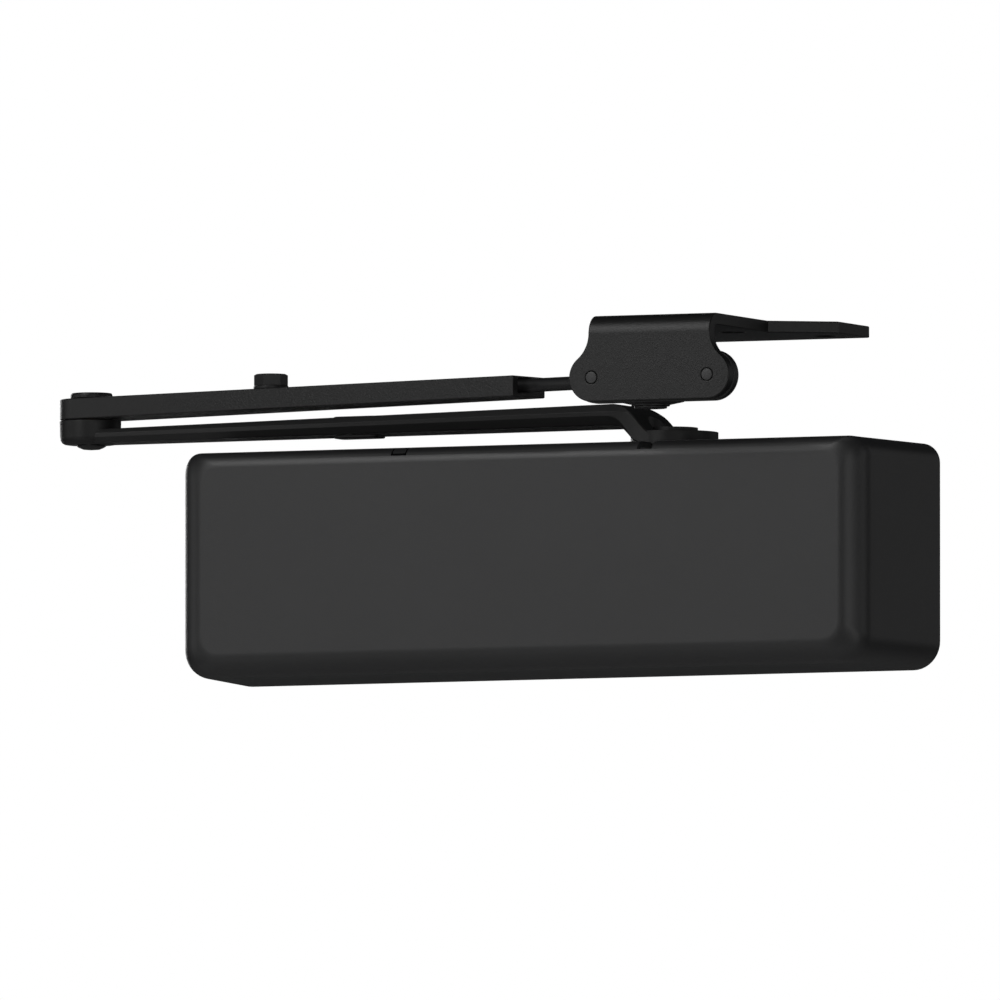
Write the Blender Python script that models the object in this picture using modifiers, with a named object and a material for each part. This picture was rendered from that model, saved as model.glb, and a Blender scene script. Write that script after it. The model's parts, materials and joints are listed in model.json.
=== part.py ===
"""Surface-mounted overhead door closer with a regular double-lever arm and a soffit shoe.

Frame: metres, +X to the right along the door, +Y towards the door, +Z up.
The origin is the centre of the face that the closer body puts against the door.
"""
import math

import bmesh
import bpy
from mathutils import Matrix, Vector

MM = 0.001
GAP = 0.3
CUT = 3.0

# Cover, a five-sided shell that is open towards the door.
COVER_HALF = 165.8
COVER_DEPTH = 69.0
COVER_BOTTOM = -47.5
COVER_TOP = 49.0
COVER_WALL = 2.5
COVER_BACK_GAP = 0.3
END_DRAFT = 8.2
COVER_RADIUS = 10.5
COVER_TOP_RADIUS = 7.5
KEYHOLE_RADIUS = 20.0
KEYHOLE_SLOT = 7.0
KEYHOLE_FRONT = -67.9
KEYHOLE_X = 57.0
PLUG_GAP = 0.6
PLUG_INSET = 0.8

# Hydraulic body and what is inside it.
AXIS_Y = -33.0
SPINDLE_X = 57.0
BODY_HALF = 134.0
TUBE_RADIUS = 27.0
BORE_RADIUS = 20.0
PAD_HALF = 150.0
PAD_HALF_HEIGHT = 36.0
PAD_THICK = 10.0
BOSS_RADIUS = 19.0
BOSS_HALF_HEIGHT = 38.0
BEARING_RADIUS = 14.0
BEARING_LENGTH = 10.0
SHAFT_RADIUS = 7.0
PINION_TEETH = 10
MODULE = 1.6
PINION_HALF = 12.0
BACKLASH = 0.5
STROKE = 26.0
PISTON_LEFT = 12.0
PISTON_RIGHT = 108.0
PLUG_LENGTH = 18.0
SEAT_LENGTH = 5.0
ADJUSTER_RADIUS = 5.0
SPRING_TURNS = 9
SPRING_WIRE = 2.6
SPRING_RADIUS = 15.5
VALVE_RADIUS = 3.0
VALVE_OFFSET = 21.5
BLOCK_START = 112.0
BLOCK_HALF = 27.5
SCREW_X = 132.0
SCREW_Z = 24.5

# Main arm, measured from the spindle axis towards the elbow.
ELBOW = (-219.1, -22.9)
HUB_RADIUS = 18.7
HUB_BOTTOM = 48.4
HUB_TOP = 54.3
ARM_BOTTOM = 57.2
ARM_BOTTOM_ELBOW = 56.8
ARM_TOP_HUB = 66.2
ARM_TOP_ELBOW = 62.6
ARM_HALF_HUB = 15.6
ARM_HALF_ELBOW = 10.6
CAP_RECESS = 11.2
ELBOW_BOSS_RADIUS = 13.2
ELBOW_BOSS_SHIFT = 0.5
ELBOW_BOSS_BOTTOM = 56.5
ELBOW_BOSS_TOP = 67.1
PIN_RADIUS = 4.0
BUSH_RADIUS = 5.5
CAP_RADIUS = 10.0
CAP_TOP = 56.3
SQUARE = 10.0

# Forearm, measured from the elbow towards the shoe pivot.
SHOE_PIVOT = (75.0, -100.6)
FORE_BOTTOM = 67.5
FORE_TOP = 76.35
FORE_EYE_RADIUS = 13.5
FORE_END_HALF = 11.5
FORE_SPLIT = 47.0
FORE_LENGTH = 238.5
FORE_CAVITY = (68.7, 75.75)
CAVITY_HALF = 7.6
ROD_Z = 72.5
ROD_RADIUS = 2.95
ROD_START = 87.0
BOLT_T = 98.4
BOLT_FLANGE_RADIUS = 7.5
BOLT_HEX_RADIUS = 7.3
BOLT_SHANK_RADIUS = 3.5

# Soffit shoe, a plate with a flange bent down at its front.
PLATE_TOP = 99.2
PLATE_THICK = 5.0
FLANGE_FRONT = -119.0
BEND_RADIUS = 8.0
SHOE_X = 82.1
RIVET_SPACING = 53.2
RIVET_Z = 72.7
RIVET_RADIUS = 2.5
LOBE_RADIUS = 10.3
NECK_HALF = 28.0
FLARE_RADIUS = 14.0
PLATE_BACK = -6.0
WING_HALF = 53.4
WING_START = -39.0
NECK_BACK = -56.0
BRACKET_THICK = 4.5
BRACKET_TOP = 86.0
SHELF_HALF = 15.0
SHELF_REACH = 11.0
EYE_RADIUS = 8.4
FLARE_TOP = 62.1
FLARE_WIDE = 14.4
FLARE_NARROW = 8.2
PIVOT_HEAD_BOTTOM = 60.1
PIVOT_PIN_RADIUS = 3.4
SOFFIT_HOLE_RADIUS = 2.8

ARM_VECTOR = Vector((ELBOW[0] - SPINDLE_X, ELBOW[1] - AXIS_Y))
ARM_LENGTH = ARM_VECTOR.length
ARM_ANGLE = math.atan2(ARM_VECTOR.y, ARM_VECTOR.x)
FORE_VECTOR = Vector((SHOE_PIVOT[0] - ELBOW[0], SHOE_PIVOT[1] - ELBOW[1]))
FORE_SPAN = FORE_VECTOR.length
FORE_ANGLE = math.atan2(FORE_VECTOR.y, FORE_VECTOR.x)

for old in list(bpy.data.objects):
    bpy.data.objects.remove(old, do_unlink=True)

PARTS = bpy.data.collections.new("door_closer")
CUTTERS = bpy.data.collections.new("cutters")
bpy.context.scene.collection.children.link(PARTS)
bpy.context.scene.collection.children.link(CUTTERS)
MATERIALS = {}


def material(name, colour, roughness, metallic):
    """One Principled material for each finish."""
    made = bpy.data.materials.new(name)
    made.use_nodes = True
    shader = made.node_tree.nodes["Principled BSDF"]
    shader.inputs["Base Color"].default_value = (*colour, 1.0)
    shader.inputs["Roughness"].default_value = roughness
    shader.inputs["Metallic"].default_value = metallic
    MATERIALS[name] = made


def link(obj, collection, finish=None):
    """Put an object in one collection only, with its finish."""
    for holder in list(obj.users_collection):
        holder.objects.unlink(obj)
    collection.objects.link(obj)
    if finish:
        obj.data.materials.clear()
        obj.data.materials.append(MATERIALS[finish])
    return obj


def shade(obj):
    """Smooth round faces and keep the sharp edges."""
    obj.data.shade_smooth()
    obj.data.set_sharp_from_angle(angle=math.radians(35))
    return obj


def scaled(obj):
    """Apply an object's transform to its mesh."""
    obj.data.transform(obj.matrix_basis)
    obj.matrix_basis = Matrix.Identity(4)
    return obj


def box(name, low, high):
    """A box from its lowest to its highest corner, in millimetres."""
    bpy.ops.mesh.primitive_cube_add(size=1.0)
    obj = bpy.context.object
    obj.name = name
    centre = [(a + b) / 2 * MM for a, b in zip(low, high)]
    size = [(b - a) * MM for a, b in zip(low, high)]
    obj.matrix_basis = Matrix.Translation(centre) @ Matrix.Diagonal((*size, 1.0))
    return scaled(obj)


def rod(name, start, end, radius, sides=32, end_radius=None):
    """A cylinder, or a cone, between two points in millimetres."""
    first = Vector(start) * MM
    last = Vector(end) * MM
    span = last - first
    top = radius if end_radius is None else end_radius
    bpy.ops.mesh.primitive_cone_add(vertices=sides, radius1=radius * MM, radius2=top * MM,
                                    depth=span.length)
    obj = bpy.context.object
    obj.name = name
    turn = span.to_track_quat("Z", "Y").to_matrix().to_4x4()
    obj.matrix_basis = Matrix.Translation((first + last) / 2) @ turn
    return scaled(obj)


def upright(name, x, y, low, high, radius, sides=32, end_radius=None):
    """A vertical cylinder or cone."""
    return rod(name, (x, y, low), (x, y, high), radius, sides, end_radius)


def turned(name, profile, x=0.0, y=0.0, steps=32):
    """A turned solid about a vertical axis; the profile runs down its outer side."""
    mesh = bpy.data.meshes.new(name)
    points = [(r * MM, 0.0, z * MM) for r, z in profile]
    edges = [(i, i + 1) for i in range(len(points) - 1)]
    mesh.from_pydata(points, edges, [])
    obj = bpy.data.objects.new(name, mesh)
    bpy.context.scene.collection.objects.link(obj)
    screw = obj.modifiers.new("turn", "SCREW")
    screw.steps = steps
    screw.render_steps = steps
    screw.use_merge_vertices = True
    screw.merge_threshold = 0.00001
    solid = frozen(obj)
    solid.matrix_basis = Matrix.Translation((x * MM, y * MM, 0.0))
    return scaled(solid)


def frozen(obj):
    """Replace an object by a plain mesh of its evaluated shape."""
    graph = bpy.context.evaluated_depsgraph_get()
    graph.update()
    mesh = bpy.data.meshes.new_from_object(obj.evaluated_get(graph))
    name = obj.name
    made = bpy.data.objects.new(name, mesh)
    made.matrix_basis = obj.matrix_world.copy()
    bpy.data.objects.remove(obj, do_unlink=True)
    made.name = name
    bpy.context.scene.collection.objects.link(made)
    bm = bmesh.new()
    bm.from_mesh(mesh)
    bmesh.ops.remove_doubles(bm, verts=bm.verts, dist=0.000001)
    bmesh.ops.recalc_face_normals(bm, faces=bm.faces)
    bm.to_mesh(mesh)
    bm.free()
    return scaled(made)


def plate(name, outline, low, high, matrix=None):
    """A flat outline, a 2D curve in millimetres, extruded from low to high along its Z."""
    curve = bpy.data.curves.new(name, "CURVE")
    curve.dimensions = "2D"
    curve.fill_mode = "BOTH"
    curve.extrude = (high - low) / 2 * MM
    spline = curve.splines.new("POLY")
    spline.points.add(len(outline) - 1)
    for point, (x, y) in zip(spline.points, outline):
        point.co = (x * MM, y * MM, 0.0, 1.0)
    spline.use_cyclic_u = True
    obj = bpy.data.objects.new(name, curve)
    bpy.context.scene.collection.objects.link(obj)
    lift = Matrix.Translation((0.0, 0.0, (low + high) / 2 * MM))
    obj.matrix_basis = (matrix or Matrix.Identity(4)) @ lift
    bpy.context.view_layer.update()
    return frozen(obj)


def arc(cx, cy, radius, start, end, steps=8):
    """Points of an arc, angles in degrees."""
    points = []
    for i in range(steps + 1):
        angle = math.radians(start + (end - start) * i / steps)
        points.append((cx + radius * math.cos(angle), cy + radius * math.sin(angle)))
    return points


def boolean(obj, other, operation):
    """Apply one exact Boolean and remove the other solid."""
    step = obj.modifiers.new(operation, "BOOLEAN")
    step.operation = operation
    step.solver = "EXACT"
    step.object = other
    link(other, CUTTERS)
    other.hide_render = True
    other.display_type = "WIRE"
    bpy.context.view_layer.update()
    name = obj.name
    solid = frozen(obj)
    bpy.data.objects.remove(other, do_unlink=True)
    solid.name = name
    return solid


def join(obj, *others):
    for other in others:
        obj = boolean(obj, other, "UNION")
    return obj


def cut(obj, *others):
    for other in others:
        obj = boolean(obj, other, "DIFFERENCE")
    return obj


def soften(obj, width, segments=2, angle=50):
    """Small bevel on the sharp edges."""
    step = obj.modifiers.new("edges", "BEVEL")
    step.width = width * MM
    step.segments = segments
    step.limit_method = "ANGLE"
    step.angle_limit = math.radians(angle)
    return frozen(obj)


def finish(obj, finish_name, origin=(0.0, 0.0, 0.0)):
    """Put a solid among the parts with its origin at a natural point, in millimetres."""
    point = Vector(origin) * MM
    obj.data.transform(Matrix.Translation(-point))
    obj.location = point
    link(obj, PARTS, finish_name)
    return shade(obj)


def arm_matrix():
    """Main arm frame: the spindle axis is at zero, +X runs to the elbow."""
    return Matrix.Translation((SPINDLE_X * MM, AXIS_Y * MM, 0)) @ Matrix.Rotation(ARM_ANGLE, 4, "Z")


def fore_matrix():
    """Forearm frame: the elbow axis is at zero, +X runs to the shoe pivot."""
    return Matrix.Translation((ELBOW[0] * MM, ELBOW[1] * MM, 0)) @ Matrix.Rotation(FORE_ANGLE, 4, "Z")


def placed(obj, matrix):
    """Move a solid that was made in an arm's own frame."""
    obj.data.transform(matrix)
    return obj


def make_materials():
    material("black_paint", (0.035, 0.035, 0.036), 0.45, 0.0)
    material("black_grain", (0.03, 0.03, 0.031), 0.55, 0.0)
    material("black_cover", (0.04, 0.04, 0.041), 0.5, 0.0)
    material("cast_metal", (0.35, 0.35, 0.36), 0.6, 0.8)
    material("steel", (0.55, 0.55, 0.56), 0.35, 1.0)
    material("black_steel", (0.06, 0.06, 0.06), 0.4, 0.6)
    material("spring_steel", (0.25, 0.25, 0.27), 0.35, 1.0)
    material("brass", (0.7, 0.5, 0.22), 0.35, 1.0)
    material("rubber", (0.02, 0.02, 0.02), 0.8, 0.0)
    material("bronze", (0.5, 0.35, 0.2), 0.4, 1.0)


# ---------------------------------------------------------------- cover


def cover_skin(name, inset, wall):
    """The drafted five-sided shell, its outer surface moved in by inset."""
    half = COVER_HALF - inset
    depth = COVER_DEPTH - inset
    low = COVER_BOTTOM + inset
    high = COVER_TOP - inset
    obj = box(name, (-half, -depth, low), (half, 0, high))
    bm = bmesh.new()
    bm.from_mesh(obj.data)
    draft = END_DRAFT * depth / COVER_DEPTH
    for vert in bm.verts:
        if vert.co.y < -depth / 2 * MM:
            vert.co.x -= math.copysign(draft * MM, vert.co.x)
    back = [face for face in bm.faces if face.normal.y > 0.9]
    bmesh.ops.delete(bm, geom=back, context="FACES_ONLY")
    weight = bm.edges.layers.float.new("bevel_weight_edge")
    for edge in bm.edges:
        if all(vert.co.y > -MM for vert in edge.verts):
            continue
        is_top = all(vert.co.z > 0 for vert in edge.verts)
        radius = COVER_TOP_RADIUS if is_top else COVER_RADIUS
        edge[weight] = (radius - inset) / COVER_RADIUS
    bm.to_mesh(obj.data)
    bm.free()
    bevel = obj.modifiers.new("edges", "BEVEL")
    bevel.width = COVER_RADIUS * MM
    bevel.segments = 5
    bevel.limit_method = "WEIGHT"
    shell = obj.modifiers.new("wall", "SOLIDIFY")
    shell.thickness = wall * MM
    shell.offset = -1.0
    shell.use_even_offset = True
    wide = COVER_HALF + CUT
    door_side = box("door_side", (-wide, -COVER_BACK_GAP, -wide), (wide, CUT, wide))
    return cut(frozen(obj), door_side)


def keyhole(name, x, grow):
    """The opening for an arm hub, with the slot that runs out over the front edge."""
    radius = KEYHOLE_RADIUS + grow
    half = KEYHOLE_SLOT / 2 + grow
    front = KEYHOLE_FRONT - grow
    low = COVER_TOP - COVER_RADIUS
    high = COVER_TOP + CUT
    start = math.degrees(math.asin(half / radius))
    outline = arc(0, 0, radius, -90 + start, 270 - start, 32)
    outline += [(-half, front - AXIS_Y), (half, front - AXIS_Y)]
    return plate(name, outline, low, high, Matrix.Translation((x * MM, AXIS_Y * MM, 0)))


def make_cover():
    cover = cover_skin("cover", 0.0, COVER_WALL)
    for x in (KEYHOLE_X, -KEYHOLE_X):
        cover = cut(cover, keyhole("keyhole", x, 0.0))
    finish(cover, "black_cover")
    plug = cover_skin("cover_hole_plug", PLUG_INSET, COVER_WALL - PLUG_INSET)
    plug = boolean(plug, keyhole("plug_shape", -KEYHOLE_X, -PLUG_GAP), "INTERSECT")
    finish(plug, "black_cover", (-KEYHOLE_X, AXIS_Y, COVER_TOP))


def make_cover_clips():
    """Two bent spring plates on the body pad that the cover snaps over."""
    thick = 2.0
    for side, name in ((-1, "cover_clip_left"), (1, "cover_clip_right")):
        foot = -PAD_THICK - GAP
        outline = [(137.0, foot), (149.0, foot), (149.0, -52.0), (155.0, -56.0),
                   (153.6, -58.0), (147.0, -53.0), (147.0, foot - thick), (137.0, foot - thick)]
        outline = [(side * x, y) for x, y in outline]
        clip = plate(name, outline, -14.0, 14.0)
        finish(clip, "spring_steel", (side * 143.0, foot, 0.0))


# ---------------------------------------------------------------- hydraulic body


def make_body():
    tube = rod("closer_body", (-BODY_HALF, AXIS_Y, 0), (BODY_HALF, AXIS_Y, 0), TUBE_RADIUS, 48)
    pad = box("pad", (-PAD_HALF, -PAD_THICK, -PAD_HALF_HEIGHT), (PAD_HALF, 0, PAD_HALF_HEIGHT))
    pad = soften(pad, 3.0, 2)
    boss = upright("boss", SPINDLE_X, AXIS_Y, -BOSS_HALF_HEIGHT, BOSS_HALF_HEIGHT, BOSS_RADIUS, 32)
    block_low = (BLOCK_START, AXIS_Y - BLOCK_HALF, -BLOCK_HALF)
    block_high = (BODY_HALF + 0.1, AXIS_Y + BLOCK_HALF, BLOCK_HALF)
    block = soften(box("valve_block", block_low, block_high), 2.0, 1)
    body = join(tube, pad, boss, block)
    ends = BODY_HALF + CUT
    body = cut(body, rod("bore", (-ends, AXIS_Y, 0), (ends, AXIS_Y, 0), BORE_RADIUS, 40))
    tall = BOSS_HALF_HEIGHT + CUT
    body = cut(body, upright("spindle_bore", SPINDLE_X, AXIS_Y, -tall, tall, BEARING_RADIUS, 32))
    for name, y, z in valve_places():
        body = cut(body, rod("hole", (BODY_HALF - 16, y, z), (ends, y, z), VALVE_RADIUS + GAP, 16))
    for x in (-SCREW_X - 10, SCREW_X + 10):
        for z in (-SCREW_Z, SCREW_Z):
            body = cut(body, rod("hole", (x, CUT, z), (x, -PAD_THICK - CUT, z), 3.4, 16))
    finish(body, "cast_metal")


def valve_places():
    near = AXIS_Y + VALVE_OFFSET
    far = AXIS_Y - VALVE_OFFSET
    return (("sweep_valve", far, VALVE_OFFSET), ("latch_valve", far, -VALVE_OFFSET),
            ("backcheck_valve", near, VALVE_OFFSET))


def make_valves():
    for name, y, z in valve_places():
        start = BODY_HALF - 15
        stem = rod(name, (start, y, z), (BODY_HALF + 1.5, y, z), VALVE_RADIUS, 16)
        key = rod("key", (BODY_HALF - 1, y, z), (BODY_HALF + CUT, y, z), 1.4, 6)
        finish(cut(stem, key), "brass", (start, y, z))


def make_mounting_screws():
    """Pan-head screws that hold the body to the door."""
    index = 0
    for x in (-SCREW_X - 10, SCREW_X + 10):
        for z in (-SCREW_Z, SCREW_Z):
            index += 1
            name = "mounting_screw_%d" % index
            shank = rod(name, (x, -0.5, z), (x, -PAD_THICK - 1.5, z), 3.0, 16)
            head = rod("head", (x, -PAD_THICK - GAP, z), (x, -PAD_THICK - 4.0, z), 5.6, 20, 4.4)
            drive = rod("drive", (x, -PAD_THICK - 2.4, z), (x, -PAD_THICK - CUT * 2, z), 2.0, 6)
            finish(cut(join(shank, head), drive), "steel", (x, -PAD_THICK, z))


def make_end_plugs():
    fit = BORE_RADIUS - GAP
    for side, name in ((-1, "spring_end_plug"), (1, "right_end_plug")):
        inner = side * (BODY_HALF - PLUG_LENGTH + 4)
        outer = side * (BODY_HALF + 2)
        plug = rod(name, (inner, AXIS_Y, 0), (outer, AXIS_Y, 0), fit, 40)
        if side < 0:
            hole = rod("hole", (inner + CUT, AXIS_Y, 0), (outer - CUT, AXIS_Y, 0),
                       ADJUSTER_RADIUS + GAP, 24)
        else:
            hole = rod("socket", (outer - 6, AXIS_Y, 0), (outer + CUT, AXIS_Y, 0), 8.0, 6)
        finish(cut(plug, hole), "steel", (inner, AXIS_Y, 0))


def make_spring_group():
    """Main spring, its moving seat and the screw that sets its force."""
    plug_face = -(BODY_HALF - PLUG_LENGTH + 4)
    seat_left = plug_face + 1.0
    seat_right = seat_left + SEAT_LENGTH
    seat = rod("spring_seat", (seat_left, AXIS_Y, 0), (seat_right, AXIS_Y, 0), BORE_RADIUS - GAP, 40)
    hole = rod("hole", (seat_left - CUT, AXIS_Y, 0), (seat_right + CUT, AXIS_Y, 0),
               ADJUSTER_RADIUS + GAP, 24)
    finish(cut(seat, hole), "steel", (seat_left, AXIS_Y, 0))
    screw = rod("adjusting_screw", (-BODY_HALF - 4, AXIS_Y, 0), (seat_right + 14, AXIS_Y, 0),
                ADJUSTER_RADIUS, 24)
    head = rod("head", (-BODY_HALF - 8, AXIS_Y, 0), (-BODY_HALF - 2.4, AXIS_Y, 0), 7.5, 6)
    finish(join(screw, head), "steel", (-BODY_HALF, AXIS_Y, 0))
    left = seat_right + GAP + SPRING_WIRE
    right = PISTON_LEFT - GAP - SPRING_WIRE
    curve = bpy.data.curves.new("main_spring", "CURVE")
    curve.dimensions = "3D"
    curve.bevel_depth = SPRING_WIRE * MM
    curve.bevel_resolution = 1
    curve.use_fill_caps = True
    spline = curve.splines.new("POLY")
    per_turn = 14
    count = SPRING_TURNS * per_turn
    spline.points.add(count)
    for i, point in enumerate(spline.points):
        angle = 2 * math.pi * i / per_turn
        x = left + (right - left) * i / count
        y = AXIS_Y + SPRING_RADIUS * math.cos(angle)
        z = SPRING_RADIUS * math.sin(angle)
        point.co = (x * MM, y * MM, z * MM, 1.0)
    obj = bpy.data.objects.new("main_spring", curve)
    bpy.context.scene.collection.objects.link(obj)
    bpy.context.view_layer.update()
    finish(frozen(obj), "spring_steel", (left, AXIS_Y, 0))


def make_piston():
    """Piston with the rack on the door side of a through slot."""
    piston = rod("piston", (PISTON_LEFT, AXIS_Y, 0), (PISTON_RIGHT, AXIS_Y, 0), BORE_RADIUS - 0.05, 40)
    pitch_radius = MODULE * PINION_TEETH / 2
    pitch = math.pi * MODULE
    line = AXIS_Y + pitch_radius
    root = line + 1.4 * MODULE
    tip = line - 0.8 * MODULE
    left = SPINDLE_X - 10.6
    right = SPINDLE_X + STROKE + 10.6
    tall = BORE_RADIUS + CUT
    slot = box("slot", (left, AXIS_Y - 10.6, -tall), (right, root, tall))
    piston = cut(piston, slot)
    slope = math.tan(math.radians(20))
    half = pitch / 4 - BACKLASH / 2
    teeth = int((right - left) / pitch)
    # A space of the rack faces the pinion tooth that points at the door.
    first = SPINDLE_X + pitch / 2 - pitch * math.floor((SPINDLE_X + pitch / 2 - left - 1.5) / pitch)
    for i in range(teeth):
        x = first + i * pitch
        if x + 2.5 > right:
            break
        base = root + 1.0
        outline = [(x - half - (base - line) * slope, base), (x - half + (line - tip) * slope, tip),
                   (x + half - (line - tip) * slope, tip), (x + half + (base - line) * slope, base)]
        piston = join(piston, plate("tooth", outline, -PINION_HALF + 1, PINION_HALF - 1))
    finish(piston, "steel", (PISTON_LEFT, AXIS_Y, 0))


def pinion_outline():
    """Involute teeth, thinned for backlash; one tooth points along +Y."""
    pitch_radius = MODULE * PINION_TEETH / 2
    pressure = math.radians(20)
    base = pitch_radius * math.cos(pressure)
    root = pitch_radius - 1.25 * MODULE
    tip = pitch_radius + 0.8 * MODULE
    half_pitch = math.pi / (2 * PINION_TEETH) - BACKLASH / 2 / pitch_radius
    at_pitch = math.tan(pressure) - pressure
    points = []
    for tooth in range(PINION_TEETH):
        middle = math.pi / 2 + 2 * math.pi * tooth / PINION_TEETH
        flank = []
        for radius in (root, base, pitch_radius, (pitch_radius + tip) / 2, tip):
            roll = math.sqrt(max((radius / base) ** 2 - 1, 0))
            spread = half_pitch + at_pitch - (roll - math.atan(roll))
            if radius == root:
                spread = half_pitch * 0.8
            flank.append((radius, spread))
        side = [(radius, middle - spread) for radius, spread in flank]
        side += [(radius, middle + spread) for radius, spread in reversed(flank)]
        points += [(radius * math.cos(angle), radius * math.sin(angle)) for radius, angle in side]
    return points


def make_spindle():
    place = Matrix.Translation((SPINDLE_X * MM, AXIS_Y * MM, 0))
    spindle = plate("spindle", pinion_outline(), -PINION_HALF, PINION_HALF, place)
    low = upright("shaft", SPINDLE_X, AXIS_Y, -BOSS_HALF_HEIGHT + 3, -PINION_HALF + 1, 5.5, 24)
    shaft = upright("shaft", SPINDLE_X, AXIS_Y, PINION_HALF - 1, HUB_BOTTOM - 1, 5.5, 24)
    journal_top = upright("journal", SPINDLE_X, AXIS_Y, 24, HUB_BOTTOM - 1.5, SHAFT_RADIUS, 32)
    journal_low = upright("journal", SPINDLE_X, AXIS_Y, -34, -24, SHAFT_RADIUS, 32)
    spindle = join(spindle, low, shaft, journal_top, journal_low)
    half = SQUARE / 2
    square = box("square", (SPINDLE_X - half, AXIS_Y - half, HUB_BOTTOM - 3),
                 (SPINDLE_X + half, AXIS_Y + half, HUB_TOP - 1.6))
    spindle = join(spindle, square)
    finish(spindle, "steel", (SPINDLE_X, AXIS_Y, 0))


def ring(name, x, y, low, high, outer, inner, sides=32):
    solid = upright(name, x, y, low, high, outer, sides)
    return cut(solid, upright("hole", x, y, low - CUT, high + CUT, inner, sides))


def make_bearings():
    outer = BEARING_RADIUS - GAP
    inner = SHAFT_RADIUS + 0.08
    top = ring("upper_bearing", SPINDLE_X, AXIS_Y, 22, 32, outer, inner)
    finish(top, "bronze", (SPINDLE_X, AXIS_Y, 27))
    low = ring("lower_bearing", SPINDLE_X, AXIS_Y, -33, -23, outer, inner)
    finish(low, "bronze", (SPINDLE_X, AXIS_Y, -28))
    seal = ring("spindle_seal", SPINDLE_X, AXIS_Y, 32.4, 36.0, outer, SHAFT_RADIUS + GAP)
    finish(seal, "rubber", (SPINDLE_X, AXIS_Y, 34))
    nut = ring("seal_nut", SPINDLE_X, AXIS_Y, 36.4, 40.5, outer, SHAFT_RADIUS + GAP)
    finish(nut, "black_steel", (SPINDLE_X, AXIS_Y, 38))
    cap = upright("bottom_cap", SPINDLE_X, AXIS_Y, -40.5, -35.6, outer, 32)
    drive = upright("drive", SPINDLE_X, AXIS_Y, -44, -38, 5.0, 6)
    finish(cut(cap, drive), "black_steel", (SPINDLE_X, AXIS_Y, -38))


# ---------------------------------------------------------------- main arm


def arm_section(s, half, low, band_low, band_high, high):
    """Eight corners of the forged section: flats, draft faces and parting band."""
    upper = (high - band_high) * 0.7
    lower = (band_low - low) * 0.45
    return [Vector((s, y, z)) * MM for y, z in (
        (-half + lower, low), (half - lower, low), (half, band_low), (half, band_high),
        (half - upper, high), (-half + upper, high), (-half, band_high), (-half, band_low))]


def arm_stations():
    """Places along the arm: distance, half width, underside, parting band and top."""
    stations = [(0.5, 15.4, 48.6, 49.0, 50.4, 51.0), (6.0, 16.2, 48.8, 50.3, 54.6, 56.8),
                (10.5, 16.5, 49.9, 52.8, 58.6, 61.2), (13.5, 16.3, 52.8, 56.1, 61.0, 62.6),
                (17.0, 16.0, 55.4, 59.0, 62.5, 64.0), (21.0, 15.8, 56.7, 60.7, 62.9, 65.5),
                (27.0, ARM_HALF_HUB, ARM_BOTTOM, 61.2, 63.0, ARM_TOP_HUB)]
    first = stations[-1][0]
    reach = ARM_LENGTH - 4
    steps = 6
    for step in range(1, steps + 1):
        share = step / steps
        half = ARM_HALF_HUB + (ARM_HALF_ELBOW - ARM_HALF_HUB) * share
        low = ARM_BOTTOM + (ARM_BOTTOM_ELBOW - ARM_BOTTOM) * share
        top = ARM_TOP_HUB + (ARM_TOP_ELBOW - ARM_TOP_HUB) * share
        band_high = top - 3.2 + 1.4 * share
        stations.append((first + (reach - first) * share, half, low, band_high - 1.7, band_high, top))
    return stations


def make_main_arm():
    bm = bmesh.new()
    rings = []
    for station in arm_stations():
        rings.append([bm.verts.new(point) for point in arm_section(*station)])
    for first, second in zip(rings, rings[1:]):
        for i in range(8):
            j = (i + 1) % 8
            bm.faces.new((first[i], first[j], second[j], second[i]))
    bm.faces.new(list(reversed(rings[0])))
    bm.faces.new(rings[-1])
    bmesh.ops.recalc_face_normals(bm, faces=bm.faces)
    mesh = bpy.data.meshes.new("main_arm")
    bm.to_mesh(mesh)
    bm.free()
    arm = bpy.data.objects.new("main_arm", mesh)
    bpy.context.scene.collection.objects.link(arm)
    hub = turned("hub", [(0, HUB_TOP), (HUB_RADIUS - 0.8, HUB_TOP), (HUB_RADIUS, HUB_TOP - 1.0),
                         (HUB_RADIUS - 0.4, HUB_BOTTOM + 3.0), (HUB_RADIUS - 1.6, HUB_BOTTOM),
                         (0, HUB_BOTTOM)], steps=40)
    boss = turned("boss", [(0, ELBOW_BOSS_TOP), (ELBOW_BOSS_RADIUS - 0.3, ELBOW_BOSS_TOP),
                           (ELBOW_BOSS_RADIUS, ELBOW_BOSS_TOP - 0.3),
                           (ELBOW_BOSS_RADIUS - 0.2, ELBOW_BOSS_BOTTOM + 3.2),
                           (ELBOW_BOSS_RADIUS - 1.0, ELBOW_BOSS_BOTTOM + 1.2),
                           (ELBOW_BOSS_RADIUS - 3.2, ELBOW_BOSS_BOTTOM), (0, ELBOW_BOSS_BOTTOM)],
                  x=ARM_LENGTH + ELBOW_BOSS_SHIFT, steps=36)
    arm = join(arm, hub, boss)
    recess = upright("recess", 0, 0, HUB_TOP, ARM_TOP_HUB + CUT, CAP_RECESS, 36)
    arm = cut(arm, recess)
    half = SQUARE / 2 + GAP
    square = box("square", (-half, -half, HUB_BOTTOM - CUT), (half, half, HUB_TOP + CUT))
    square.data.transform(Matrix.Rotation(-ARM_ANGLE, 4, "Z"))
    arm = cut(arm, square)
    bore = upright("bore", ARM_LENGTH, 0, ELBOW_BOSS_BOTTOM - CUT, ELBOW_BOSS_TOP + CUT,
                   BUSH_RADIUS + 0.3, 24)
    arm = cut(arm, bore)
    finish(placed(arm, arm_matrix()), "black_paint", (SPINDLE_X, AXIS_Y, 0))


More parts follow.
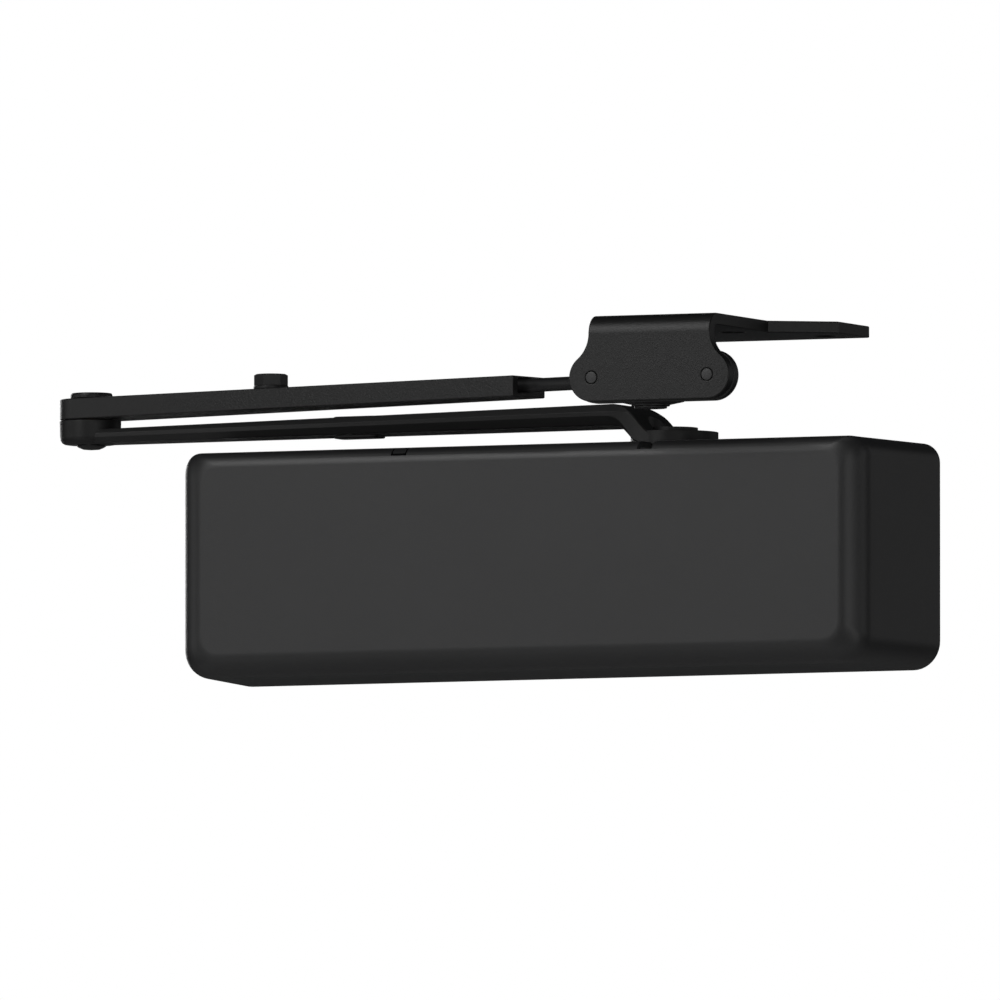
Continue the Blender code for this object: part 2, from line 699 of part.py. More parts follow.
def make_arm_screw():
    """The round cap screw that holds the arm on the spindle."""
    low = HUB_TOP + GAP
    cap = turned("arm_cap", [(0, CAP_TOP), (CAP_RADIUS - 1.2, CAP_TOP), (CAP_RADIUS, CAP_TOP - 0.8),
                             (CAP_RADIUS, low), (0, low)], SPINDLE_X, AXIS_Y, 32)
    drive = upright("drive", SPINDLE_X, AXIS_Y, CAP_TOP - 1.2, CAP_TOP + CUT, 3.6, 6)
    finish(cut(cap, drive), "black_paint", (SPINDLE_X, AXIS_Y, 0))


def make_elbow():
    x, y = ELBOW
    bush = ring("elbow_bush", x, y, ELBOW_BOSS_BOTTOM + 0.6, ELBOW_BOSS_TOP, BUSH_RADIUS,
                PIN_RADIUS + 0.08, 24)
    finish(bush, "bronze", (x, y, 0))
    pin_low = ELBOW_BOSS_BOTTOM - GAP
    head_low = FORE_TOP + GAP
    pin = turned("elbow_pin", [(0, head_low + 2.1), (8.3, head_low + 2.1), (9.0, head_low + 1.4),
                               (9.0, head_low), (PIN_RADIUS, head_low), (PIN_RADIUS, pin_low),
                               (6.6, pin_low), (5.6, pin_low - 0.7), (3.8, pin_low - 1.5),
                               (0, pin_low - 1.9)], x, y, 28)
    finish(pin, "black_steel", (x, y, 0))


# ---------------------------------------------------------------- forearm


def fore_half(t):
    """Half width of the forearm at a distance from the elbow."""
    return FORE_EYE_RADIUS + (FORE_END_HALF - FORE_EYE_RADIUS) * t / FORE_LENGTH


def fore_box(name, start, end, half, low, high):
    return box(name, (start, -half, low), (end, half, high))


def make_forearm():
    wide = fore_half(0)
    split = fore_half(FORE_SPLIT)
    outline = arc(0, 0, wide, 90, 270, 20) + [(FORE_SPLIT, -split), (FORE_SPLIT, split)]
    end = plate("forearm_end", outline, FORE_BOTTOM, FORE_TOP)
    end = soften(end, 0.7, 2)
    low, high = FORE_CAVITY
    tongue = fore_box("tongue", FORE_SPLIT - 4, FORE_SPLIT + 20, CAVITY_HALF - GAP,
                      low + GAP, high - GAP)
    end = join(end, tongue)
    end = cut(end, upright("bore", 0, 0, FORE_BOTTOM - CUT, FORE_TOP + CUT, PIN_RADIUS + 0.3, 24))
    finish(placed(end, fore_matrix()), "black_paint", (*ELBOW, 0))
    start = FORE_SPLIT + GAP
    far = fore_half(FORE_LENGTH)
    outline = [(start, -split), (FORE_LENGTH, -far), (FORE_LENGTH, far), (start, split)]
    tube = soften(plate("forearm_tube", outline, FORE_BOTTOM, FORE_TOP), 0.7, 2)
    cavity = fore_box("cavity", start - CUT, FORE_LENGTH + CUT, CAVITY_HALF, low, high)
    tube = cut(tube, cavity)
    tube = cut(tube, upright("hole", BOLT_T, 0, high - 1, FORE_TOP + CUT, BOLT_SHANK_RADIUS + GAP, 20))
    finish(placed(tube, fore_matrix()), "black_grain", (*ELBOW, 0))


def make_clamp_bolt():
    base = FORE_TOP + GAP
    flange = turned("clamp_bolt", [(0, base + 2.0), (BOLT_FLANGE_RADIUS - 0.4, base + 1.7),
                                   (BOLT_FLANGE_RADIUS, base + 1.2), (BOLT_FLANGE_RADIUS, base),
                                   (0, base)], x=BOLT_T, steps=28)
    hexagon = upright("hexagon", BOLT_T, 0, base + 0.5, base + 6.3, BOLT_HEX_RADIUS, 6)
    hexagon = soften(hexagon, 0.5, 1)
    shank = upright("shank", BOLT_T, 0, ROD_Z + ROD_RADIUS + 0.2, base + 1, BOLT_SHANK_RADIUS, 20)
    bolt = join(flange, hexagon, shank)
    place = fore_matrix() @ Matrix.Translation((BOLT_T * MM, 0, 0))
    origin = place.translation / MM
    finish(placed(bolt, fore_matrix()), "black_steel", (origin.x, origin.y, base))


def make_rod():
    """Sliding rod and the eye that turns on the shoe's pin."""
    tip = FORE_SPAN - PIVOT_PIN_RADIUS - 2.2
    bar = rod("slide_rod", (ROD_START, 0, ROD_Z), (tip, 0, ROD_Z), ROD_RADIUS, 20)
    origin = fore_matrix() @ Vector((ROD_START * MM, 0, ROD_Z * MM))
    finish(placed(bar, fore_matrix()), "black_steel", origin / MM)
    top = BRACKET_TOP - BRACKET_THICK - 1.4
    eye = turned("rod_eye", [(0, top), (EYE_RADIUS - 1, top), (EYE_RADIUS, top - 1),
                             (EYE_RADIUS, FLARE_TOP), (FLARE_WIDE, FLARE_TOP),
                             (FLARE_WIDE, FLARE_TOP - 0.2),
                             (FLARE_NARROW, PIVOT_HEAD_BOTTOM + 1.0),
                             (0, PIVOT_HEAD_BOTTOM + 1.0)], x=FORE_SPAN, steps=32)
    eye = cut(eye, upright("bore", FORE_SPAN, 0, PIVOT_HEAD_BOTTOM - CUT, top + CUT,
                           PIVOT_PIN_RADIUS + 0.08, 24))
    eye = cut(eye, rod("socket", (FORE_SPAN - 20, 0, ROD_Z), (FORE_SPAN - PIVOT_PIN_RADIUS - 1.8, 0, ROD_Z),
                       ROD_RADIUS + GAP, 20))
    finish(placed(eye, fore_matrix()), "black_steel", (*SHOE_PIVOT, 0))


# ---------------------------------------------------------------- shoe


def shoe_plane(y):
    """Frame for an outline drawn in X and Z and extruded towards the door from y."""
    turn = Matrix(((1, 0, 0, SHOE_X * MM), (0, 0, 1, y * MM), (0, 1, 0, 0), (0, 0, 0, 1)))
    return turn


def side_plane():
    """Frame for an outline drawn in Y and Z and extruded along X about the shoe's middle."""
    return Matrix(((0, 0, 1, SHOE_X * MM), (1, 0, 0, 0), (0, 1, 0, 0), (0, 0, 0, 1)))


def shoe_blank():
    """Right half of the flat blank: across the plate, and along it from its back edge."""
    bend_start = PLATE_BACK - FLANGE_FRONT - BEND_RADIUS
    bend_end = bend_start + BEND_RADIUS * math.pi / 2
    rivet = bend_end + PLATE_TOP - BEND_RADIUS - RIVET_Z
    half = RIVET_SPACING / 2
    reach = NECK_HALF + FLARE_RADIUS - half
    rise = math.sqrt((LOBE_RADIUS + FLARE_RADIUS) ** 2 - reach ** 2)
    lean = math.degrees(math.atan2(rise, reach))
    outline = [(WING_HALF, 0), (WING_HALF, PLATE_BACK - WING_START), (NECK_HALF, PLATE_BACK - NECK_BACK)]
    outline += arc(NECK_HALF + FLARE_RADIUS, rivet - rise, FLARE_RADIUS, 180, 180 - lean, 7)
    outline += arc(half, rivet, LOBE_RADIUS, -lean, 90, 12)[1:]
    return outline, bend_start, bend_end


def fold(point, bend_start, bend_end):
    """Carry a point of the flat blank round the bend; its depth is under the outer face."""
    across, along, depth = point
    centre_y = FLANGE_FRONT + BEND_RADIUS
    centre_z = PLATE_TOP - BEND_RADIUS
    if along <= bend_start:
        return Vector((SHOE_X + across, PLATE_BACK - along, PLATE_TOP - depth))
    if along >= bend_end:
        return Vector((SHOE_X + across, FLANGE_FRONT + depth, centre_z - (along - bend_end)))
    angle = (along - bend_start) / BEND_RADIUS
    radius = BEND_RADIUS - depth
    return Vector((SHOE_X + across, centre_y - radius * math.sin(angle), centre_z + radius * math.cos(angle)))


def make_soffit_plate():
    """One bent plate: the flat blank is cut across its bend zone and then folded."""
    right, bend_start, bend_end = shoe_blank()
    outline = right + [(-x, y) for x, y in reversed(right)]
    shoe = plate("soffit_plate", outline, 0, PLATE_THICK)
    bm = bmesh.new()
    bm.from_mesh(shoe.data)
    steps = 8
    for step in range(steps + 1):
        along = bend_start + (bend_end - bend_start) * step / steps
        everything = bm.verts[:] + bm.edges[:] + bm.faces[:]
        bmesh.ops.bisect_plane(bm, geom=everything, dist=0.000001, plane_co=(0, along * MM, 0),
                               plane_no=(0, 1, 0))
    for vert in bm.verts:
        vert.co = fold(vert.co / MM, bend_start, bend_end) * MM
    bmesh.ops.recalc_face_normals(bm, faces=bm.faces)
    bm.to_mesh(shoe.data)
    bm.free()
    low = PLATE_TOP - PLATE_THICK
    for x in (-RIVET_SPACING / 2, RIVET_SPACING / 2):
        place = (SHOE_X + x, FLANGE_FRONT - CUT, RIVET_Z)
        end = (SHOE_X + x, FLANGE_FRONT + PLATE_THICK + CUT, RIVET_Z)
        shoe = cut(shoe, rod("hole", place, end, RIVET_RADIUS + GAP, 20))
    for x, y in ((-40, -24), (40, -24), (-14, -62), (14, -62)):
        spot = upright("hole", SHOE_X + x, y, low - CUT, PLATE_TOP + CUT, SOFFIT_HOLE_RADIUS, 16)
        sink = upright("sink", SHOE_X + x, y, low - 0.5, low + 2.6, 5.6, 20, SOFFIT_HOLE_RADIUS)
        shoe = cut(shoe, spot, sink)
    finish(shoe, "black_grain", (*SHOE_PIVOT, PLATE_TOP))


def make_pivot_bracket():
    """Angle bracket riveted behind the flange, with the pin in its flat leg."""
    front = FLANGE_FRONT + PLATE_THICK + GAP
    half = RIVET_SPACING / 2
    radius = LOBE_RADIUS
    outline = arc(half, RIVET_Z, radius, -90, 90, 14) + arc(-half, RIVET_Z, radius, 90, 270, 14)
    leg = plate("pivot_bracket", outline, 0, BRACKET_THICK, shoe_plane(front))
    offset = SHOE_PIVOT[0] - SHOE_X
    low = BRACKET_TOP - BRACKET_THICK
    depth = SHOE_PIVOT[1]
    inset = 0.3
    outline = [(front + inset, RIVET_Z + 4), (front + BRACKET_THICK - inset, RIVET_Z + 4),
               (front + BRACKET_THICK - inset, low), (depth + SHELF_REACH, low),
               (depth + SHELF_REACH, BRACKET_TOP), (front + inset, BRACKET_TOP)]
    angle = plate("angle", outline, offset - SHELF_HALF, offset + SHELF_HALF, side_plane())
    bracket = join(leg, angle)
    bracket = cut(bracket, upright("hole", *SHOE_PIVOT, low - CUT, BRACKET_TOP + CUT,
                                   PIVOT_PIN_RADIUS + GAP, 24))
    for x in (-half, half):
        bracket = cut(bracket, rod("hole", (SHOE_X + x, front - CUT, RIVET_Z),
                                   (SHOE_X + x, front + BRACKET_THICK + CUT, RIVET_Z),
                                   RIVET_RADIUS + GAP, 20))
    finish(bracket, "black_steel", (*SHOE_PIVOT, 0))


def make_rivets():
    back = FLANGE_FRONT + PLATE_THICK + BRACKET_THICK + 2 * GAP
    for x, name in ((-RIVET_SPACING / 2, "rivet_left"), (RIVET_SPACING / 2, "rivet_right")):
        middle = SHOE_X + x
        shank = rod(name, (middle, FLANGE_FRONT - 0.1, RIVET_Z), (middle, back + 1, RIVET_Z),
                    RIVET_RADIUS, 20)
        head = rod("head", (middle, back, RIVET_Z), (middle, back + 2.0, RIVET_Z), 4.4, 20, 3.4)
        finish(join(shank, head), "black_steel", (middle, FLANGE_FRONT, RIVET_Z))


def make_pivot_pin():
    """Headed pin, its washer and the ring that keeps it in the bracket."""
    x, y = SHOE_PIVOT
    head = PIVOT_HEAD_BOTTOM + 0.7
    top = BRACKET_TOP + 3.2
    pin = turned("pivot_pin", [(0, top), (PIVOT_PIN_RADIUS - 0.5, top), (PIVOT_PIN_RADIUS, top - 0.5),
                               (PIVOT_PIN_RADIUS, head), (7.0, head), (7.0, PIVOT_HEAD_BOTTOM + 0.2),
                               (6.6, PIVOT_HEAD_BOTTOM), (0, PIVOT_HEAD_BOTTOM)], x, y, 28)
    finish(pin, "black_steel", (x, y, 0))
    low = BRACKET_TOP - BRACKET_THICK
    washer = ring("pivot_washer", x, y, low - 1.1, low - GAP, 8.0, PIVOT_PIN_RADIUS + 0.2, 24)
    finish(washer, "steel", (x, y, low))
    clip = ring("pivot_retaining_ring", x, y, BRACKET_TOP + GAP, BRACKET_TOP + 1.5, 6.5,
                PIVOT_PIN_RADIUS + 0.15, 24)
    finish(clip, "spring_steel", (x, y, BRACKET_TOP))


make_materials()
make_cover()
make_cover_clips()
make_body()
make_valves()
make_mounting_screws()
make_end_plugs()
make_spring_group()
make_piston()
make_spindle()
make_bearings()
make_main_arm()
make_arm_screw()
make_elbow()
make_forearm()
make_clamp_bolt()
make_rod()
make_soffit_plate()
make_pivot_bracket()
make_rivets()
make_pivot_pin()
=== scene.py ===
"""Looks of the door closer: camera, light, materials and the fine surfaces."""
import json
import math

import bmesh
import bpy
from mathutils import Matrix, Vector


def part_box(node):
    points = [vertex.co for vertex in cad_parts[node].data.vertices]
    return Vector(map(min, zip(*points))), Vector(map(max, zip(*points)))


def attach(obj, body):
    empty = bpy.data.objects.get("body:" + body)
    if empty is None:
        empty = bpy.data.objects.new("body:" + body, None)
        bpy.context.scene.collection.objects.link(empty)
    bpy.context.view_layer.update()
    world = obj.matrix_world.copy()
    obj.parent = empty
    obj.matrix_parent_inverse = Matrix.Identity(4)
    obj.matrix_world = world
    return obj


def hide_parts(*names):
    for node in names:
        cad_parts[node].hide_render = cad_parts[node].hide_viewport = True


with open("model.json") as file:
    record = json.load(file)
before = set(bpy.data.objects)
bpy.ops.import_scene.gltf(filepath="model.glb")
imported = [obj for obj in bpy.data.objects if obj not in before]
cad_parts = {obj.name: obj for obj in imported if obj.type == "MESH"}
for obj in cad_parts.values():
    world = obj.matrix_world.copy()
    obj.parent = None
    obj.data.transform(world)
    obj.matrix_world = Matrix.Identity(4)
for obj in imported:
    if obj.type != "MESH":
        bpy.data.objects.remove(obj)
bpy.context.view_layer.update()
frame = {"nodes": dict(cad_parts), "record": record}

MM = 0.001
DATA = bpy.data
SCENE = bpy.context.scene

# Camera: a long lens, to the right of the front and a little below the closer.
VIEW_YAW = math.radians(23.5)
VIEW_RISE = math.radians(3.555)
VIEW_DISTANCE = 16.8
VIEW_LENS = 1418.0
VIEW_TARGET = (-35.1 * MM, 28.8 * MM)
SENSOR_WIDTH = 36.0
CLIP_START = 1.0
CLIP_END = 60.0

# Studio, in metres and watts. The white backdrop itself gives only a dim light.
DIM_COLOUR = (0.9, 0.95, 1.0, 1.0)
DIM_STRENGTH = 0.017
FLOOR_SIZE = 40.0
FLOOR_LEVEL = -1.6
FLOOR_TONE = 0.86
FLOOR_ROUGHNESS = 0.8
REAR_SPREAD = math.radians(50.0)
# name, place, size, power, throws a shadow
LIGHTS = (
    ("front", (-1.2, -2.75, 0.0), 1.0, 3.6, True),
    ("front_high", (-1.2, -2.75, 0.9), 0.8, 6.9, True),
    ("front_low", (-1.2, -2.5, -1.2), 0.8, 1.4, True),
    ("front_right", (1.5, -2.5, 0.3), 1.5, 8.1, True),
    ("far_left", (-3.0, -1.6, 0.0), 1.6, 5.7, True),
    ("left", (-3.0, -0.5, 0.5), 1.5, 1.5, True),
    ("right", (3.0, 0.0, 0.5), 1.5, 4.2, True),
    ("right_low", (2.4, -1.6, -0.6), 1.2, 4.9, True),
    ("top", (0.0, -0.3, 3.0), 1.5, 3.0, True),
    ("rear_right", (2.0, 2.5, 0.5), 2.0, 2.6, True),
    ("fill", (-1.2, -2.75, 1.8), 0.8, 16.0, False),
    ("fill_high", (-1.0, -2.3, 2.6), 0.8, 12.5, False),
    ("rear_left", (-2.0, 2.2, 0.5), 1.6, 2.6, True),
)

# Finishes. The grain is fine texture in height and gloss, the tone a slow change of colour.
GRAIN_DETAIL = 3.0
GRAIN_DEPTH = 0.0002
GLOSS_CHANGE = 0.06
TONE_SCALE = 22.0
TONE_DETAIL = 4.0
TONE_EDGES = (0.3, 0.7)
# finish: colour, roughness, grain height, grain scale, change of tone, metallic, specular
FINISHES = {
    "black_cover": ((0.022, 0.022, 0.0225), 0.4, 0.12, 1400, 0.05, 0.0, 0.5),
    "black_paint": ((0.009, 0.009, 0.009), 0.47, 0.2, 700, 0.08, 0.0, 0.4),
    "black_grain": ((0.0135, 0.0135, 0.0135), 0.44, 1.7, 1050, 0.06, 0.0, 0.5),
    "black_forging": ((0.0135, 0.0135, 0.0135), 0.44, 0.3, 1600, 0.06, 0.0, 0.5),
    "black_steel": ((0.012, 0.012, 0.0125), 0.42, 0.15, 900, 0.08, 0.0, 0.42),
    # painted shade: a near-black, dull finish for the walls of the gap round the plug, standing in
    # for the gap's shadow
    "painted_gap_shade": ((0.002, 0.002, 0.002), 0.9, 0.0, 900, 0.0, 0.0, 0.1),
    "black_shoe": ((0.005, 0.005, 0.005), 0.41, 0.35, 1700, 0.06, 0.0, 0.43),
    "rubbed_steel": ((0.030, 0.030, 0.0305), 0.4, 0.15, 900, 0.08, 0.0, 0.5),
    "cast_metal": ((0.3, 0.3, 0.31), 0.6, 0.8, 500, 0.15, 0.8, 0.5),
    "steel": ((0.55, 0.55, 0.56), 0.32, 0.1, 1500, 0.08, 1.0, 0.5),
    "spring_steel": ((0.22, 0.22, 0.24), 0.35, 0.1, 1200, 0.1, 1.0, 0.5),
    "brass": ((0.62, 0.43, 0.18), 0.34, 0.1, 1200, 0.08, 1.0, 0.5),
    "bronze": ((0.45, 0.3, 0.16), 0.42, 0.3, 1500, 0.15, 1.0, 0.5),
    "rubber": ((0.018, 0.018, 0.018), 0.75, 0.3, 900, 0.1, 0.0, 0.5),
}

# Mesh work: angles in degrees, distances in the unit of the mesh they are used on.
SHARP_ANGLE = 32
BEVEL_ANGLE = 40
FLAT_ANGLE = 0.5
WELD_MM = 0.0005
WELD = 0.0000005
WELD_CAD = 0.000001
SPLIT_REACH = 0.0000001
FINE_EDGE = 0.35

# The closer's own driving dimensions, in millimetres, as the model has them.
GAP = 0.3
COVER_HALF = 165.8
COVER_DEPTH = 69.0
COVER_BOTTOM = -47.5
COVER_TOP = 49.0
COVER_WALL = 2.5
COVER_BACK_GAP = 0.3
SIDE_RINGS = (COVER_BACK_GAP, 20.0, 40.0, 54.0)
EDGE_STEPS = 10
END_DRAFT = 8.2
FRONT_RADIUS_TOP = 6.8
FRONT_RADIUS_BOTTOM = 10.5
FRONT_RADIUS_END = 10.5
CORNER_TOP_BACK = 8.5
CORNER_TOP_FRONT = 8.9
CORNER_BOTTOM_BACK = 12.2
CORNER_BOTTOM_FRONT = 12.4
CORNER_FACE = 7.9
KEYHOLE_RADIUS = 20.0
KEYHOLE_SLOT = 7.0
KEYHOLE_FRONT = -68.25
KEYHOLE_X = 57.0
KEYHOLE_DEPTH = 12.0
CUT_OVER = 3.0
SLOT_SHIFT = 1.2
PLUG_GAP = 0.55
LIP_GAP = 0.03
LIP_WALL = 0.8
LIP_REACH = 1.0
AXIS_Y = -33.0
SPINDLE = Vector((57.0, AXIS_Y))
ELBOW = Vector((-219.1, -22.9))
SHOE_PIVOT = Vector((75.0, -100.6))
HUB_RADIUS = 18.7
HUB_BOTTOM = 48.4
HUB_TOP = 54.3
# The arm's bend: distance from the spindle, half width, underside, parting band (low, high), top
ARM_BEND = (
    (0.5, 18.2, 48.6, 48.9, 50.4, 51.0),
    (6.0, 18.5, 48.7, 49.2, 55.0, 56.3),
    (10.5, 18.5, 50.1, 50.8, 59.8, 60.9),
    (13.5, 18.3, 53.0, 54.2, 61.9, 63.1),
    (17.0, 18.0, 55.9, 58.2, 62.6, 65.1),
    (21.0, 17.5, 56.9, 60.6, 62.9, 66.2),
    (27.0, 17.0, 57.2, 61.2, 63.0, 66.2),
)
# The straight part tapers evenly from the end of the bend to just short of the elbow.
ARM_SHARES = (0.1, 0.25, 0.5, 0.75, 1.0)
ARM_SHORT = 4.0
ARM_LENGTH = (ELBOW - SPINDLE).length
ARM_REACH = ARM_LENGTH - ARM_SHORT
ARM_START, ARM_START_HALF, ARM_LOW = ARM_BEND[-1][:3]
ARM_TOP = ARM_BEND[-1][-1]
ARM_END_HALF = 10.6
ARM_LOW_FALL = 0.4
ARM_TOP_FALL = 3.6
BAND_DROP = 3.2
BAND_RISE = 1.4
BAND_WIDTH = 1.7
DRAFT_UPPER = 0.7
DRAFT_LOWER = 0.45
ARM_EDGE = 0.55
CAP_RADIUS = 10.0
CAP_TOP = 56.3
CAP_RECESS = 11.2
SOCKET_RADIUS = 3.6
SOCKET_DEPTH = 1.2
ELBOW_BOSS_RADIUS = 13.2
ELBOW_BOSS_SHIFT = 0.5
ELBOW_BOSS_BOTTOM = 56.5
ELBOW_BOSS_TOP = 66.75
SQUARE = 10.0
BUSH_RADIUS = 5.5
PIN_RADIUS = 4.0
PIN_HEAD_RADIUS = 9.0
PIN_HEAD_RISE = 2.4
PIN_FOOT_RADIUS = 6.6
PAD_DISTANCE = 148.8
PAD_LENGTH = 21.0
PAD_WIDTH = 11.0
PAD_RISE = 0.75
PAD_DROP = 1.2
PAD_CORNER = 3.0
FORE_EYE_RADIUS = 13.5
FORE_END_HALF = 10.9
FORE_LENGTH = 238.5
FORE_SAG = 0.35
SMOOTH_LENGTH = 47.0
CAVITY_HALF = 7.6
CAVITY = (68.7, 75.75)
CAVITY_DEPTH = 120.0
BOLT_DISTANCE = 98.4
BOLT_HEX_RADIUS = 7.3
BOLT_FLANGE_RADIUS = 7.5
BOLT_SHANK_RADIUS = 3.4
BOLT_HEIGHT = 6.5
BOLT_TURN = 43.5
PLATE_THICK = 5.0
FLANGE_FRONT = -119.0
BEND_RADIUS = 8.0
RIVET_SPACING = 53.2
RIVET_Z = 72.7
LOBE_RADIUS = 10.3
NECK_HALF = 28.0
NECK_BACK = -56.0
FLARE_RADIUS = 14.0
WING_HALF = 53.4
WING_START = -39.0
PLATE_BACK = -6.0
BEND_STEPS = 14
# Countersunk fixing holes of the plate: place from its middle, radii and depth
FIXING_HOLES = ((-40, -24), (40, -24), (-14, -62), (14, -62))
FIXING_RADIUS = 2.8
SINK_RADIUS = 5.6
SINK_DEPTH = 2.6
BRACKET_THICK = 4.5
BRACKET_TOP = 86.0
BRACKET_OVER = 0.4
BRACKET_BORE = 3.7
SHELF_HALF = 15.0
SHELF_REACH = 11.0
EYE_RADIUS = 8.4
SKIRT_TOP = 63.2
SKIRT_FOOT = 8.2
PIVOT_BORE = 3.48
PIVOT_RADIUS = 3.4
PIVOT_HEAD = 0.75
RIVET_RADIUS = 2.5
RIVET_RISE = 0.1
RIVET_SEAM = 0.15
RIVET_TAIL_RADIUS = 4.4
RIVET_TAIL_LENGTH = 2.2


def node(tree, kind, **settings):
    """Add a shader node and set its properties."""
    made = tree.nodes.new(kind)
    for key, value in settings.items():
        setattr(made, key, value)
    return made


def make_camera():
    """Level camera with a long lens; back runs from the closer to the camera."""
    right = Vector((math.cos(VIEW_YAW), math.sin(VIEW_YAW), 0.0))
    back = Vector((math.sin(VIEW_YAW) * math.cos(VIEW_RISE),
                   -math.cos(VIEW_YAW) * math.cos(VIEW_RISE), -math.sin(VIEW_RISE)))
    up = back.cross(right)
    data = DATA.cameras.new("camera")
    data.lens = VIEW_LENS
    data.sensor_width = SENSOR_WIDTH
    data.clip_start = CLIP_START
    data.clip_end = CLIP_END
    camera = DATA.objects.new("camera", data)
    SCENE.collection.objects.link(camera)
    target = right * VIEW_TARGET[0] + up * VIEW_TARGET[1]
    rows = Matrix((right, up, back)).transposed().to_4x4()
    camera.matrix_world = Matrix.Translation(target + back * VIEW_DISTANCE) @ rows
    SCENE.camera = camera


def area_light(name, place, size, power):
    """Square soft box that faces the closer."""
    data = DATA.lights.new(name, "AREA")
    data.energy = power
    data.size = size
    light = DATA.objects.new(name, data)
    light.location = place
    turn = (-Vector(place)).to_track_quat("-Z", "Y")
    light.rotation_euler = turn.to_euler()
    SCENE.collection.objects.link(light)
    return data


def make_world():
    """White behind the object, dim grey as light."""
    world = DATA.worlds.new("studio")
    SCENE.world = world
    world.use_nodes = True
    tree = world.node_tree
    tree.nodes.clear()
    out = node(tree, "ShaderNodeOutputWorld")
    white = node(tree, "ShaderNodeBackground")
    white.inputs["Color"].default_value = (1.0, 1.0, 1.0, 1.0)
    dim = node(tree, "ShaderNodeBackground")
    dim.inputs["Color"].default_value = DIM_COLOUR
    dim.inputs["Strength"].default_value = DIM_STRENGTH
    path = node(tree, "ShaderNodeLightPath")
    mix = node(tree, "ShaderNodeMixShader")
    tree.links.new(path.outputs["Is Camera Ray"], mix.inputs[0])
    tree.links.new(dim.outputs[0], mix.inputs[1])
    tree.links.new(white.outputs[0], mix.inputs[2])
    tree.links.new(mix.outputs[0], out.inputs[0])


def make_floor():
    """Pale floor well below the closer, as white as the backdrop and clear from below."""
    bpy.ops.mesh.primitive_plane_add(size=FLOOR_SIZE, location=(0.0, 0.0, FLOOR_LEVEL))
    floor = bpy.context.object
    floor.name = "floor"
    pale = DATA.materials.new("floor")
    pale.use_nodes = True
    tree = pale.node_tree
    shader = tree.nodes["Principled BSDF"]
    shader.inputs["Base Color"].default_value = (FLOOR_TONE, FLOOR_TONE, FLOOR_TONE, 1.0)
    shader.inputs["Roughness"].default_value = FLOOR_ROUGHNESS
    white = node(tree, "ShaderNodeEmission")
    path = node(tree, "ShaderNodeLightPath")
    seen = node(tree, "ShaderNodeMixShader")
    tree.links.new(path.outputs["Is Camera Ray"], seen.inputs[0])
    tree.links.new(shader.outputs[0], seen.inputs[1])
    tree.links.new(white.outputs[0], seen.inputs[2])
    clear = node(tree, "ShaderNodeBsdfTransparent")
    side = node(tree, "ShaderNodeNewGeometry")
    mix = node(tree, "ShaderNodeMixShader")
    tree.links.new(side.outputs["Backfacing"], mix.inputs[0])
    tree.links.new(seen.outputs[0], mix.inputs[1])
    tree.links.new(clear.outputs[0], mix.inputs[2])
    tree.links.new(mix.outputs[0], tree.nodes["Material Output"].inputs[0])
    floor.data.materials.append(pale)


def make_lights():
    """Soft boxes: four on the front, two fills that throw no shadow, and weak ones all round."""
    for name, place, size, power, shadow in LIGHTS:
        light = area_light(name, place, size, power)
        light.use_shadow = shadow
        if name == "rear_left":
            light.spread = REAR_SPREAD


def paint(name, colour, roughness, bump, scale, mottle, metallic, specular):
    """Painted or machined surface: fine grain in its height, slight changes in tone and gloss."""
    made = DATA.materials.new(name)
    made.use_nodes = True
    tree = made.node_tree
    shader = tree.nodes["Principled BSDF"]
    shader.inputs["Metallic"].default_value = metallic
    shader.inputs["Specular IOR Level"].default_value = specular
    place = node(tree, "ShaderNodeTexCoord")
    grain = node(tree, "ShaderNodeTexNoise")
    grain.inputs["Scale"].default_value = scale
    grain.inputs["Detail"].default_value = GRAIN_DETAIL
    tree.links.new(place.outputs["Object"], grain.inputs["Vector"])
    tone = node(tree, "ShaderNodeTexNoise")
    tone.inputs["Scale"].default_value = TONE_SCALE
    tone.inputs["Detail"].default_value = TONE_DETAIL
    tree.links.new(place.outputs["Object"], tone.inputs["Vector"])
    ramp = node(tree, "ShaderNodeValToRGB")
    dark = [channel * (1.0 - mottle) for channel in colour]
    light = [min(channel * (1.0 + mottle), 1.0) for channel in colour]
    for stop, edge, tint in zip(ramp.color_ramp.elements, TONE_EDGES, (dark, light)):
        stop.position = edge
        stop.color = (*tint, 1.0)
    tree.links.new(tone.outputs["Fac"], ramp.inputs[0])
    tree.links.new(ramp.outputs[0], shader.inputs["Base Color"])
    gloss = node(tree, "ShaderNodeMapRange")
    gloss.inputs["To Min"].default_value = roughness - GLOSS_CHANGE
    gloss.inputs["To Max"].default_value = roughness + GLOSS_CHANGE
    tree.links.new(grain.outputs["Fac"], gloss.inputs["Value"])
    tree.links.new(gloss.outputs[0], shader.inputs["Roughness"])
    if bump:
        height = node(tree, "ShaderNodeBump")
        height.inputs["Strength"].default_value = bump
        height.inputs["Distance"].default_value = GRAIN_DEPTH
        tree.links.new(grain.outputs["Fac"], height.inputs["Height"])
        tree.links.new(height.outputs[0], shader.inputs["Normal"])
    return made


def finish_of(name):
    """The record's finish for a CAD node."""
    slots = {row["node"]: row["material_slot"] for row in frame["record"]["subparts"]}
    return slots[name]


def dress_cad():
    """Give every CAD node the finish of its slot."""
    for name, obj in frame["nodes"].items():
        finish = materials[finish_of(name)]
        if not obj.material_slots:
            obj.data.materials.append(finish)
        for place in obj.material_slots:
            place.material = finish


# ---------------------------------------------------------------- shape helpers, in millimetres


def arc(x, y, radius, start, end, steps=12):
    """Points of an arc, angles in degrees."""
    angles = [math.radians(start + (end - start) * i / steps) for i in range(steps + 1)]
    return [(x + radius * math.cos(a), y + radius * math.sin(a)) for a in angles]


